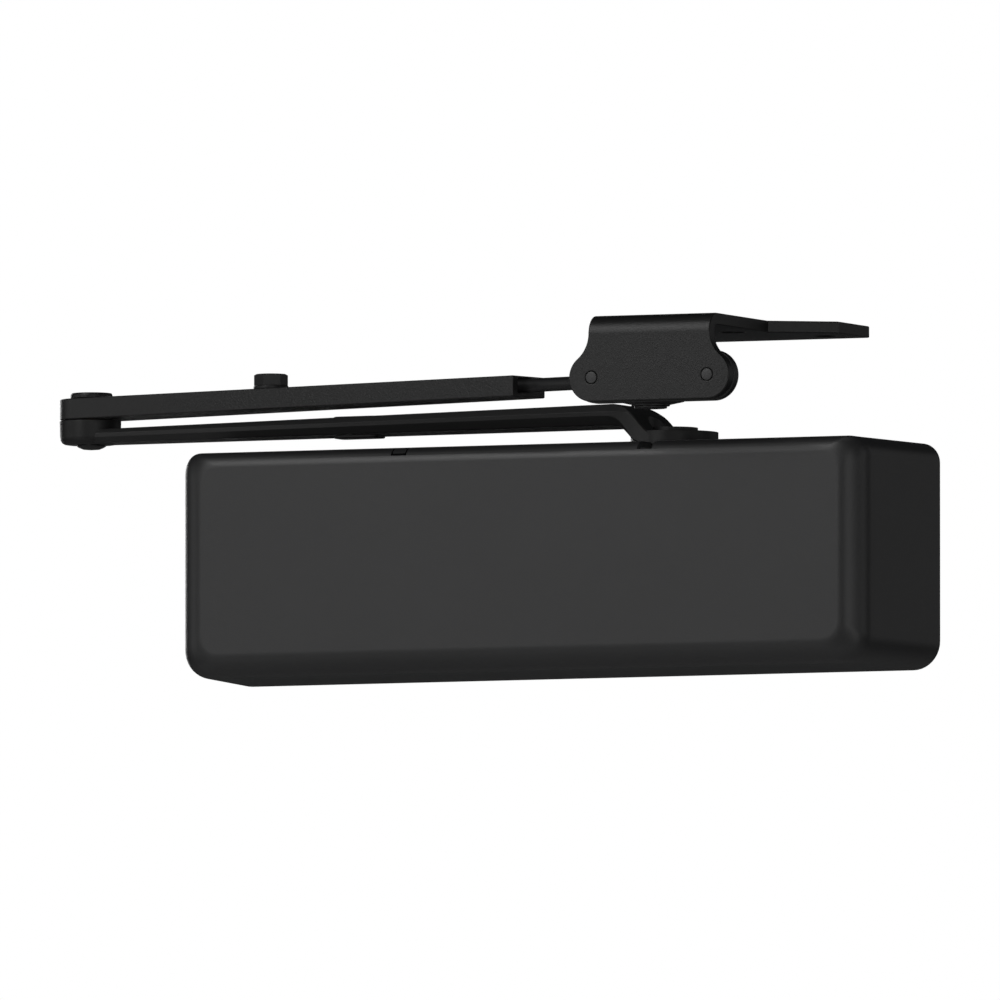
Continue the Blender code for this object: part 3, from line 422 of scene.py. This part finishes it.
def rounded(points, radius, closed=True, steps=4):
    """Round the corners of an outline or profile; radius is one value or one for each corner."""
    count = len(points)
    radii = radius if isinstance(radius, (list, tuple)) else [radius] * count
    made = []
    for i, corner in enumerate(points):
        at = Vector(corner)
        if radii[i] <= 0 or (not closed and i in (0, count - 1)):
            made.append(at)
            continue
        before = Vector(points[i - 1]) - at
        after = Vector(points[(i + 1) % count]) - at
        half = before.angle(after) / 2
        reach = min(radii[i] / math.tan(half), before.length * 0.48, after.length * 0.48)
        start = at + before.normalized() * reach
        end = at + after.normalized() * reach
        for k in range(steps + 1):
            t = k / steps
            made.append(start * (1 - t) ** 2 + at * 2 * t * (1 - t) + end * t ** 2)
    return made


def solid(name, bm):
    """Finish a bmesh drawn in millimetres as an object in metres, faces out."""
    bmesh.ops.remove_doubles(bm, verts=bm.verts, dist=WELD_MM)
    bmesh.ops.recalc_face_normals(bm, faces=bm.faces)
    bmesh.ops.scale(bm, vec=(MM, MM, MM), verts=bm.verts)
    mesh = DATA.meshes.new(name)
    bm.to_mesh(mesh)
    bm.free()
    obj = DATA.objects.new(name, mesh)
    SCENE.collection.objects.link(obj)
    return obj


def loft(name, rings, open_start=False):
    """Skin between closed rings of equal length, capped at its ends."""
    bm = bmesh.new()
    rows = [[bm.verts.new(point) for point in ring] for ring in rings]
    count = len(rows[0])
    for first, second in zip(rows, rows[1:]):
        for i in range(count):
            j = (i + 1) % count
            bm.faces.new((first[i], first[j], second[j], second[i]))
    if not open_start:
        bm.faces.new(list(reversed(rows[0])))
    bm.faces.new(rows[-1])
    return solid(name, bm)


def lathe(name, profile, place=(0.0, 0.0), soft=0.3, steps=96):
    """Turned piece about a vertical axis; the profile's corners are rounded."""
    radius = soft if isinstance(soft, list) else [0] + [soft] * (len(profile) - 2) + [0]
    points = rounded(profile, radius, closed=False)
    bm = bmesh.new()
    verts = [bm.verts.new((p[0], 0, p[1])) for p in points]
    edges = [bm.edges.new(pair) for pair in zip(verts, verts[1:])]
    bmesh.ops.spin(bm, geom=verts + edges, cent=(0, 0, 0), axis=(0, 0, 1), angle=2 * math.pi,
                   steps=steps, use_merge=True)
    bmesh.ops.translate(bm, vec=(place[0], place[1], 0), verts=bm.verts)
    return solid(name, bm)


def slab(name, outlines, low, high, edge=0.4, matrix=None):
    """Plate from one outline and its holes, with rounded edges."""
    curve = DATA.curves.new(name, "CURVE")
    curve.dimensions = "2D"
    curve.fill_mode = "BOTH"
    curve.bevel_depth = edge * MM
    curve.bevel_resolution = 2
    curve.offset = -edge * MM
    curve.extrude = ((high - low) / 2 - edge) * MM
    for outline in outlines:
        spline = curve.splines.new("POLY")
        spline.points.add(len(outline) - 1)
        for point, place in zip(spline.points, outline):
            point.co = (place[0] * MM, place[1] * MM, 0.0, 1.0)
        spline.use_cyclic_u = True
    obj = DATA.objects.new(name, curve)
    SCENE.collection.objects.link(obj)
    lift = Matrix.Translation((0.0, 0.0, (low + high) / 2 * MM))
    obj.matrix_basis = (matrix or Matrix.Identity(4)) @ lift
    bpy.context.view_layer.update()
    return frozen(obj)


def frozen(obj):
    """Apply modifiers and place; weld what the steps left open."""
    bpy.context.view_layer.update()
    graph = bpy.context.evaluated_depsgraph_get()
    mesh = DATA.meshes.new_from_object(obj.evaluated_get(graph))
    mesh.transform(obj.matrix_world)
    name = obj.name
    DATA.objects.remove(obj, do_unlink=True)
    bm = bmesh.new()
    bm.from_mesh(mesh)
    bmesh.ops.remove_doubles(bm, verts=bm.verts, dist=WELD)
    bmesh.ops.recalc_face_normals(bm, faces=bm.faces)
    bm.to_mesh(mesh)
    bm.free()
    made = DATA.objects.new(name, mesh)
    SCENE.collection.objects.link(made)
    return made


def combine(obj, other, operation):
    """One exact Boolean; the other solid is used up."""
    step = obj.modifiers.new(operation, "BOOLEAN")
    step.operation = operation
    step.solver = "EXACT"
    step.object = other
    made = frozen(obj)
    DATA.objects.remove(other, do_unlink=True)
    return made


def beveled(obj, width):
    """Break the sharp edges."""
    step = obj.modifiers.new("edges", "BEVEL")
    step.width = width * MM
    step.segments = 2
    step.limit_method = "ANGLE"
    step.angle_limit = math.radians(BEVEL_ANGLE)
    step.use_clamp_overlap = True
    return frozen(obj)


def place_piece(obj, body, finish, *nodes):
    """Smooth shading, finish, the body it rides on and the CAD nodes it stands for."""
    obj.data.shade_smooth()
    obj.data.set_sharp_from_angle(angle=math.radians(SHARP_ANGLE))
    flat = obj.modifiers.new("even_normals", "WEIGHTED_NORMAL")
    flat.keep_sharp = True
    flat.weight = 100
    obj.data.materials.clear()
    obj.data.materials.append(materials[finish])
    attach(obj, body)
    if nodes:
        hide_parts(*nodes)
    return obj


def split(bm, place, normal):
    """Cut edges into a mesh along a plane."""
    bmesh.ops.bisect_plane(bm, geom=bm.verts[:] + bm.edges[:] + bm.faces[:], dist=SPLIT_REACH,
                           plane_co=place, plane_no=normal)


def bored(obj, radius, top, bottom, place=(0.0, 0.0)):
    """Cut a vertical round hole between two levels."""
    cutter = lathe("bore", [(0, top), (radius, top), (radius, bottom), (0, bottom)], place,
                   soft=0, steps=48)
    return combine(obj, cutter, "DIFFERENCE")


def box_mm(name):
    """Lowest and highest corner of a CAD node, in millimetres."""
    return [[value / MM for value in corner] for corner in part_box(name)]


def level_angle(start, end):
    span = end - start
    return math.atan2(span.y, span.x)


def along(start, end):
    """Frame at start whose X axis runs level towards end."""
    turn = Matrix.Rotation(level_angle(start, end), 4, "Z")
    return Matrix.Translation((start.x * MM, start.y * MM, 0.0)) @ turn


def shape(obj, matrix):
    """Move a solid that was made in an arm's own frame."""
    obj.data.transform(matrix)
    return obj


# ---------------------------------------------------------------- cover


def cover_ring(depth, turn, inset):
    """One ring of the cover's skin, at a depth of its sides or a turn of the front edge."""
    bulge = 1 - math.cos(turn)
    share = depth / COVER_DEPTH
    half = COVER_HALF - END_DRAFT * share - FRONT_RADIUS_END * bulge - inset
    top = COVER_TOP - FRONT_RADIUS_TOP * bulge - inset
    bottom = COVER_BOTTOM + FRONT_RADIUS_BOTTOM * bulge + inset
    low_corner = CORNER_BOTTOM_BACK + (CORNER_BOTTOM_FRONT - CORNER_BOTTOM_BACK) * share
    high_corner = CORNER_TOP_BACK + (CORNER_TOP_FRONT - CORNER_TOP_BACK) * share
    points = []
    for side, upper, start in ((1, False, -90), (1, True, 0), (-1, True, 90), (-1, False, 180)):
        radius = high_corner if upper else low_corner
        radius = CORNER_FACE + (radius - CORNER_FACE) * math.cos(turn)
        edge = FRONT_RADIUS_TOP if upper else FRONT_RADIUS_BOTTOM
        middle_z = top - radius if upper else bottom + radius
        for x, z in arc(0, 0, 1.0, start, start + 90, 10):
            front = FRONT_RADIUS_END * x * x + edge * z * z
            y = -depth
            if turn > 0 or depth >= COVER_DEPTH - FRONT_RADIUS_END:
                y = -COVER_DEPTH + inset + (front - inset) * (1 - math.sin(turn))
            points.append((side * (half - radius) + radius * x, y, middle_z + radius * z))
    return points


def cover_skin(name, inset):
    """The cover's outer skin, lofted from the door side over the rounded front edge."""
    start = COVER_DEPTH - FRONT_RADIUS_END
    rings = [cover_ring(depth, 0.0, inset) for depth in SIDE_RINGS]
    for step in range(EDGE_STEPS + 1):
        turn = math.pi / 2 * step / EDGE_STEPS
        depth = start + FRONT_RADIUS_END * math.sin(turn)
        rings.append(cover_ring(depth, turn, inset))
    return loft(name, rings, open_start=True)


def cover_shell(name, inset, wall):
    """The skin with a wall, open towards the door."""
    skin = cover_skin(name, inset)
    shell = skin.modifiers.new("wall", "SOLIDIFY")
    shell.thickness = wall * MM
    shell.offset = -1.0
    shell.use_even_offset = True
    return frozen(skin)


def keyhole(name, x, grow):
    """Cutter for an arm hub's opening, with the slot that runs out over the front edge."""
    radius = KEYHOLE_RADIUS + grow
    half = KEYHOLE_SLOT / 2 + grow
    start = math.degrees(math.asin((half + SLOT_SHIFT) / radius))
    end = math.degrees(math.asin((half - SLOT_SHIFT) / radius))
    outline = arc(0, 0, radius, -90 + start, 270 - end, 72)
    front = KEYHOLE_FRONT - grow - AXIS_Y
    outline += [(SLOT_SHIFT - half, front), (SLOT_SHIFT + half, front)]
    place = Matrix.Translation((x * MM, AXIS_Y * MM, 0.0))
    return slab(name, [outline], COVER_TOP - KEYHOLE_DEPTH, COVER_TOP + CUT_OVER, 0.01, place)


def paint_gap_shade(obj):
    """Painted shade: the upright walls round the unused opening, on the cover and on the plug, are
    made near-black and dull to stand in for the gap's shadow.
    """
    obj.data.materials.append(materials["painted_gap_shade"])
    hole = KEYHOLE_RADIUS + 1.0
    slot = KEYHOLE_SLOT / 2 + 1.5
    front = KEYHOLE_FRONT - 0.6
    low = COVER_TOP - KEYHOLE_DEPTH - 7.0
    for face in obj.data.polygons:
        x, y, z = face.center / MM
        across = abs(x + KEYHOLE_X)
        near = across < slot or math.hypot(across, y - AXIS_Y) < hole
        if abs(face.normal.z) < 0.1 and near and y > front and z > low:
            face.material_index = 1


def make_cover():
    """Cover with its two openings, the plug in the unused one and a lip under the plug's gap."""
    cover = cover_shell("cover_shell", 0.0, COVER_WALL)
    for x in (KEYHOLE_X, -KEYHOLE_X):
        cover = combine(cover, keyhole("opening", x, 0.0), "DIFFERENCE")
    place_piece(cover, "closer", "black_cover", "cover")
    # painted shade on the cover's walls round the plug's gap
    paint_gap_shade(cover)
    plug = cover_shell("cover_plug", 0.0, COVER_WALL)
    plug = combine(plug, keyhole("plug_edge", -KEYHOLE_X, -PLUG_GAP), "INTERSECT")
    place_piece(plug, "closer", "black_cover", "cover_hole_plug")
    # painted shade on the plug's own cut walls
    paint_gap_shade(plug)
    lip = cover_shell("plug_lip", COVER_WALL + LIP_GAP, LIP_WALL)
    lip = combine(lip, keyhole("lip_edge", -KEYHOLE_X, LIP_REACH), "INTERSECT")
    place_piece(lip, "closer", "black_cover")


# ---------------------------------------------------------------- main arm


def arm_heights(share):
    """Underside and top of the arm's straight part."""
    return ARM_LOW - ARM_LOW_FALL * share, ARM_TOP - ARM_TOP_FALL * share


def arm_values():
    """The arm's stations: the bend, then the tapering straight part."""
    stations = list(ARM_BEND)
    for share in ARM_SHARES:
        low, top = arm_heights(share)
        band = top - BAND_DROP + BAND_RISE * share
        distance = ARM_START + (ARM_REACH - ARM_START) * share
        half = ARM_START_HALF - (ARM_START_HALF - ARM_END_HALF) * share
        stations.append((distance, half, low, band - BAND_WIDTH, band, top))
    return stations


def smooth_stations(stations, per_span=5):
    """A smooth curve through the stations, value by value."""
    made = []
    last = len(stations) - 1
    for i in range(last):
        before = stations[max(i - 1, 0)]
        after = stations[min(i + 2, last)]
        for k in range(per_span):
            t = k / per_span
            row = []
            for a, b, c, d in zip(before, stations[i], stations[i + 1], after):
                bend = (2 * b + (c - a) * t + (2 * a - 5 * b + 4 * c - d) * t * t
                        + (3 * b - a - 3 * c + d) * t ** 3)
                row.append(bend / 2)
            made.append(row)
    made.append(list(stations[last]))
    return made


def arm_ring(s, half, low, band_low, band_high, high):
    """The forged section: flats, draft faces and parting band, with soft corners."""
    upper = (high - band_high) * DRAFT_UPPER
    lower = (band_low - low) * DRAFT_LOWER
    back = half - (half - ARM_END_HALF) / 3
    corners = [(-back + lower, low), (half - lower, low), (half, band_low), (half, band_high),
               (half - upper, high), (-back + upper, high), (-back, band_high), (-back, band_low)]
    return [(s, p[0], p[1]) for p in rounded(corners, ARM_EDGE, steps=3)]


def make_pad():
    """Plain raised pad on the arm's upper and lower faces."""
    half_length = PAD_LENGTH / 2
    half_width = PAD_WIDTH / 2
    outline = rounded([(-half_length, -half_width), (half_length, -half_width),
                       (half_length, half_width), (-half_length, half_width)], PAD_CORNER, steps=8)
    low, top = arm_heights((PAD_DISTANCE - ARM_START) / (ARM_REACH - ARM_START))
    place = Matrix.Translation((PAD_DISTANCE * MM, 0.0, 0.0))
    return slab("pad", [outline], low - PAD_DROP, top + PAD_RISE, 0.5, place)


def make_main_arm():
    """Forged arm with its hub, elbow boss and pad, bored for cap, spindle and bush."""
    arm = loft("arm_forging", [arm_ring(*row) for row in smooth_stations(arm_values())])
    hub = lathe("hub", [(0, HUB_TOP), (HUB_RADIUS, HUB_TOP), (HUB_RADIUS, HUB_BOTTOM),
                        (0, HUB_BOTTOM)], soft=0.2)
    boss = lathe("boss", [(0, ELBOW_BOSS_TOP), (ELBOW_BOSS_RADIUS, ELBOW_BOSS_TOP),
                          (ELBOW_BOSS_RADIUS - 0.3, ELBOW_BOSS_BOTTOM), (0, ELBOW_BOSS_BOTTOM)],
                 (ARM_LENGTH + ELBOW_BOSS_SHIFT, 0), soft=[0, 0.3, 3.4, 0])
    arm = combine(arm, hub, "UNION")
    arm = combine(arm, boss, "UNION")
    arm = combine(arm, make_pad(), "UNION")
    recess = lathe("recess", [(0, 80.0), (CAP_RECESS, 80.0), (CAP_RECESS, HUB_TOP), (0, HUB_TOP)],
                   soft=0)
    arm = combine(arm, recess, "DIFFERENCE")
    half = SQUARE / 2 + GAP
    corners = [(-half, -half), (half, -half), (half, half), (-half, half)]
    turn = Matrix.Rotation(-level_angle(SPINDLE, ELBOW), 4, "Z")
    square = slab("square", [corners], HUB_BOTTOM - CUT_OVER, HUB_TOP + CUT_OVER, 0.05, turn)
    arm = combine(arm, square, "DIFFERENCE")
    arm = bored(arm, BUSH_RADIUS + GAP, 80.0, 50.0, (ARM_LENGTH, 0))
    place_piece(shape(arm, along(SPINDLE, ELBOW)), "main_arm", "black_paint", "main_arm")


def make_arm_cap():
    """Cap in the arm's hub, with a hexagon socket."""
    low = HUB_TOP + GAP
    cap = lathe("cap_screw", [(0, CAP_TOP), (CAP_RADIUS, CAP_TOP), (CAP_RADIUS, low), (0, low)],
                SPINDLE, soft=0.2)
    place = Matrix.Translation((SPINDLE.x * MM, SPINDLE.y * MM, 0.0))
    socket = slab("socket", [arc(0, 0, SOCKET_RADIUS, 0, 300, 5)], CAP_TOP - SOCKET_DEPTH,
                  CAP_TOP + CUT_OVER, 0.05, place)
    place_piece(combine(cap, socket, "DIFFERENCE"), "main_arm", "black_paint", "arm_cap")


def make_elbow_pin():
    """Pin through forearm and arm: a flat round head above, a domed foot below."""
    head = box_mm("forearm_end")[1][2] + GAP - FORE_SAG
    top = head + PIN_HEAD_RISE
    low = ELBOW_BOSS_BOTTOM - GAP
    pin = lathe("elbow_rivet", [(0, top), (PIN_HEAD_RADIUS - 0.3, top),
                                (PIN_HEAD_RADIUS, head + 1.5), (PIN_HEAD_RADIUS, head),
                                (PIN_RADIUS, head), (PIN_RADIUS, low), (PIN_FOOT_RADIUS, low),
                                (PIN_FOOT_RADIUS - 1.1, low - 0.8),
                                (PIN_FOOT_RADIUS - 3.0, low - 1.6), (0, low - 1.9)],
                ELBOW, soft=0.5)
    place_piece(pin, "main_arm", "black_steel", "elbow_pin")


# ---------------------------------------------------------------- forearm


def sag(distance):
    """How far the forearm sits under its level at a distance from the elbow."""
    return FORE_SAG * (1 - distance / FORE_LENGTH)


def make_forearm():
    """Forearm bar, smooth at the elbow and grained beyond, open at the rod's end."""
    corners = box_mm("forearm_end")
    outline = arc(0, 0, FORE_EYE_RADIUS, 90, 270, 48)
    outline += [(FORE_LENGTH, -FORE_END_HALF), (FORE_LENGTH, FORE_END_HALF)]
    bar = slab("forearm_bar", [outline], corners[0][2], corners[1][2], 0.55)
    start = FORE_LENGTH - CAVITY_DEPTH
    end = FORE_LENGTH + 5.0
    hole = [(start, -CAVITY_HALF), (end, -CAVITY_HALF), (end, CAVITY_HALF), (start, CAVITY_HALF)]
    bar = combine(bar, slab("cavity", [hole], *CAVITY, 0.3), "DIFFERENCE")
    bar = bored(bar, PIN_RADIUS + GAP, 90.0, 60.0)
    bm = bmesh.new()
    bm.from_mesh(bar.data)
    split(bm, (SMOOTH_LENGTH * MM, 0, 0), (1, 0, 0))
    for vert in bm.verts:
        vert.co.z -= sag(vert.co.x / MM) * MM
    bm.to_mesh(bar.data)
    bm.free()
    smooth = [face.index for face in bar.data.polygons if face.center.x < SMOOTH_LENGTH * MM]
    bar = shape(bar, along(ELBOW, SHOE_PIVOT))
    place_piece(bar, "forearm", "black_grain", "forearm_end", "forearm_tube")
    bar.data.materials.append(materials["black_forging"])
    for index in smooth:
        bar.data.polygons[index].material_index = 1


def make_clamp_bolt():
    """Flanged hexagon bolt on the forearm."""
    base = box_mm("forearm_tube")[1][2] + GAP - sag(BOLT_DISTANCE)
    top = base + BOLT_HEIGHT
    corners = arc(0, 0, BOLT_HEX_RADIUS, BOLT_TURN, BOLT_TURN + 300, 5)
    hexagon = slab("hexagon", [rounded(corners, 0.3, steps=3)], base + 0.5, top, 0.05)
    wide = BOLT_HEX_RADIUS + 0.1
    crown = lathe("crown", [(0, top), (BOLT_HEX_RADIUS - 1.0, top), (wide, top - 0.6),
                            (wide, base), (0, base)], soft=0.2)
    hexagon = combine(hexagon, crown, "INTERSECT")
    foot = base - 1.2
    flange = lathe("clamp_screw", [(0, base + 2.0), (BOLT_FLANGE_RADIUS - 0.4, base + 1.7),
                                   (BOLT_FLANGE_RADIUS, base + 1.2), (BOLT_FLANGE_RADIUS, base),
                                   (BOLT_SHANK_RADIUS, base), (BOLT_SHANK_RADIUS, foot), (0, foot)],
                   soft=0.3)
    bolt = combine(flange, hexagon, "UNION")
    place = along(ELBOW, SHOE_PIVOT) @ Matrix.Translation((BOLT_DISTANCE * MM, 0.0, 0.0))
    place_piece(shape(bolt, place), "clamp_bolt", "black_steel", "clamp_bolt")


# ---------------------------------------------------------------- shoe


def fold(point, bend_start, bend_end, middle, top):
    """Carry a point of the flat blank round the bend; its depth is under the outer face."""
    across, run, depth = point
    centre_y = FLANGE_FRONT + BEND_RADIUS
    centre_z = top - BEND_RADIUS
    if run <= bend_start:
        return Vector((middle + across, PLATE_BACK - run, top - depth))
    if run >= bend_end:
        return Vector((middle + across, FLANGE_FRONT + depth, centre_z - (run - bend_end)))
    angle = (run - bend_start) / BEND_RADIUS
    radius = BEND_RADIUS - depth
    y = centre_y - radius * math.sin(angle)
    return Vector((middle + across, y, centre_z + radius * math.cos(angle)))


def shoe_blank(rivet):
    """Outline of the plate laid flat, from its back edge to the lobes round the rivets."""
    half = RIVET_SPACING / 2
    reach = NECK_HALF + FLARE_RADIUS - half
    rise = math.sqrt((LOBE_RADIUS + FLARE_RADIUS) ** 2 - reach ** 2)
    lean = math.degrees(math.atan2(rise, reach))
    right = [(WING_HALF, 0), (WING_HALF, PLATE_BACK - WING_START),
             (NECK_HALF, PLATE_BACK - NECK_BACK)]
    right += arc(NECK_HALF + FLARE_RADIUS, rivet - rise, FLARE_RADIUS, 180, 180 - lean, 14)
    right += arc(half, rivet, LOBE_RADIUS, -lean, 90, 24)[1:]
    return right + [(-x, y) for x, y in reversed(right)]


def make_shoe():
    """The bent soffit plate, from its flat blank, with countersunk fixing holes."""
    low_corner, high_corner = box_mm("soffit_plate")
    top = high_corner[2]
    middle = (low_corner[0] + high_corner[0]) / 2
    bend_start = PLATE_BACK - FLANGE_FRONT - BEND_RADIUS
    bend_end = bend_start + BEND_RADIUS * math.pi / 2
    rivet = bend_end + top - BEND_RADIUS - RIVET_Z
    circle = arc(0, 0, RIVET_RADIUS + RIVET_SEAM, 0, 345, 23)
    holes = [[(x + side * RIVET_SPACING / 2, y + rivet) for x, y in circle] for side in (-1, 1)]
    plate = slab("soffit_bracket", [shoe_blank(rivet)] + holes, 0.0, PLATE_THICK, 0.5)
    bm = bmesh.new()
    bm.from_mesh(plate.data)
    for step in range(BEND_STEPS + 1):
        run = bend_start + (bend_end - bend_start) * step / BEND_STEPS
        split(bm, (0, run * MM, 0), (0, 1, 0))
    for vert in bm.verts:
        vert.co = fold(vert.co / MM, bend_start, bend_end, middle, top) * MM
    bmesh.ops.recalc_face_normals(bm, faces=bm.faces)
    bm.to_mesh(plate.data)
    bm.free()
    under = top - PLATE_THICK
    profile = [(0, top + 1), (FIXING_RADIUS, top + 1), (FIXING_RADIUS, under + SINK_DEPTH),
               (SINK_RADIUS, under), (SINK_RADIUS, under - 1), (0, under - 1)]
    for x, y in FIXING_HOLES:
        sink = lathe("sink", profile, (middle + x, y), soft=0, steps=40)
        plate = combine(plate, sink, "DIFFERENCE")
    place_piece(plate, "shoe", "black_grain", "soffit_plate")
    plate.data.materials[0] = materials["black_shoe"]
    return middle


def make_rivets(middle):
    """Rivets ground nearly flush with the flange, with a thin seam round each."""
    back = PLATE_THICK + BRACKET_THICK + 2 * GAP
    wide = RIVET_TAIL_RADIUS
    profile = [(0, -RIVET_RISE), (RIVET_RADIUS, -RIVET_RISE), (RIVET_RADIUS, back), (wide, back),
               (wide - 0.2, back + 1.0), (wide - 1.4, back + 2.0), (0, back + RIVET_TAIL_LENGTH)]
    for side, name in ((-1, "left"), (1, "right")):
        rivet = lathe("shoe_rivet_" + name, profile, soft=0.25, steps=64)
        turn = Matrix(((1, 0, 0, (middle + side * RIVET_SPACING / 2) * MM),
                       (0, 0, 1, FLANGE_FRONT * MM), (0, -1, 0, RIVET_Z * MM), (0, 0, 0, 1)))
        place_piece(shape(rivet, turn), "shoe", "black_steel", "rivet_" + name)
        rivet.data.materials[0] = materials["rubbed_steel"]


def make_pivot_bracket(middle):
    """Angle riveted behind the flange; its level leg carries the pivot pin."""
    front = FLANGE_FRONT + PLATE_THICK + GAP
    half = RIVET_SPACING / 2
    radius = LOBE_RADIUS + BRACKET_OVER
    outline = arc(half, RIVET_Z, radius, -90, 90, 32) + arc(-half, RIVET_Z, radius, 90, 270, 32)
    turn = Matrix(((1, 0, 0, middle * MM), (0, 0, 1, front * MM), (0, 1, 0, 0), (0, 0, 0, 1)))
    leg = slab("pivot_angle", [outline], 0.0, BRACKET_THICK, 0.45, turn)
    low = BRACKET_TOP - BRACKET_THICK
    root = RIVET_Z + 4
    near = front + 0.3
    far = front + BRACKET_THICK - 0.3
    end = SHOE_PIVOT.y + SHELF_REACH
    profile = [(near, root), (far, root), (far, low), (end, low), (end, BRACKET_TOP),
               (near, BRACKET_TOP)]
    profile = rounded(profile, [0, 0, 1.5, 0.3, 0.3, 4.5], steps=8)
    side = Matrix(((0, 0, 1, 0), (1, 0, 0, 0), (0, 1, 0, 0), (0, 0, 0, 1)))
    shelf = slab("shelf", [profile], SHOE_PIVOT.x - SHELF_HALF, SHOE_PIVOT.x + SHELF_HALF, 0.35,
                 side)
    bracket = combine(leg, shelf, "UNION")
    bracket = bored(bracket, BRACKET_BORE, 95.0, 75.0, SHOE_PIVOT)
    place_piece(bracket, "shoe", "black_steel", "pivot_bracket")


def make_rod_eye():
    """Eye on the rod's end: a turned barrel with a thin dished skirt under it."""
    low_corner, high_corner = box_mm("rod_eye")
    top = high_corner[2]
    low = low_corner[2]
    skirt = (high_corner[0] - low_corner[0]) / 2
    eye = lathe("eye_barrel", [(0, top), (EYE_RADIUS, top), (EYE_RADIUS, SKIRT_TOP + 1.0),
                               (EYE_RADIUS + 1.2, SKIRT_TOP), (skirt, SKIRT_TOP),
                               (skirt, SKIRT_TOP - 0.2), (SKIRT_FOOT, low + 0.55),
                               (SKIRT_FOOT, low), (0, low)], SHOE_PIVOT,
                soft=[0, 1.0, 1.2, 0.6, 0.08, 0.08, 0.2, 0.1, 0])
    eye = bored(eye, PIVOT_BORE, top + 2, low - 2, SHOE_PIVOT)
    place_piece(eye, "slide_rod", "black_steel", "rod_eye")


def make_pivot_pin():
    """Pin of the shoe's pivot, with a flat head below."""
    low_corner, high_corner = box_mm("pivot_pin")
    top = high_corner[2]
    low = low_corner[2]
    head = (high_corner[0] - low_corner[0]) / 2
    shoulder = low + PIVOT_HEAD
    pin = lathe("shoe_pin", [(0, top), (PIVOT_RADIUS, top), (PIVOT_RADIUS, shoulder),
                             (head, shoulder), (head, low + 0.15), (head - 0.5, low), (0, low)],
                SHOE_PIVOT, soft=[0, 0.5, 0.1, 0.05, 0.1, 0.15, 0])
    place_piece(pin, "shoe", "black_steel", "pivot_pin")


# ---------------------------------------------------------------- the other CAD nodes


# CAD nodes that show from behind, with the body each rides on
REFINED = {
    "closer_body": "closer", "cover_clip_left": "closer", "cover_clip_right": "closer",
    "slide_rod": "slide_rod", "seal_nut": "closer", "bottom_cap": "closer",
    "right_end_plug": "closer", "spring_end_plug": "closer", "pivot_washer": "shoe",
}


def refine_node(name, body):
    """Same shape as a CAD node, with its sharp edges broken."""
    mesh = frame["nodes"][name].data.copy()
    obj = DATA.objects.new(name + "_fine", mesh)
    SCENE.collection.objects.link(obj)
    bm = bmesh.new()
    bm.from_mesh(mesh)
    bmesh.ops.remove_doubles(bm, verts=bm.verts, dist=WELD_CAD)
    bmesh.ops.dissolve_limit(bm, angle_limit=math.radians(FLAT_ANGLE), verts=bm.verts,
                             edges=bm.edges)
    bm.to_mesh(mesh)
    bm.free()
    place_piece(beveled(obj, FINE_EDGE), body, finish_of(name), name)


SCENE.view_settings.view_transform = "Standard"
make_camera()
make_world()
make_lights()
make_floor()
materials = {name: paint(name, *values) for name, values in FINISHES.items()}
dress_cad()
make_cover()
make_main_arm()
make_arm_cap()
make_elbow_pin()
make_forearm()
make_clamp_bolt()
shoe_middle = make_shoe()
make_rivets(shoe_middle)
make_pivot_bracket(shoe_middle)
make_rod_eye()
make_pivot_pin()
for name, body in REFINED.items():
    refine_node(name, body)
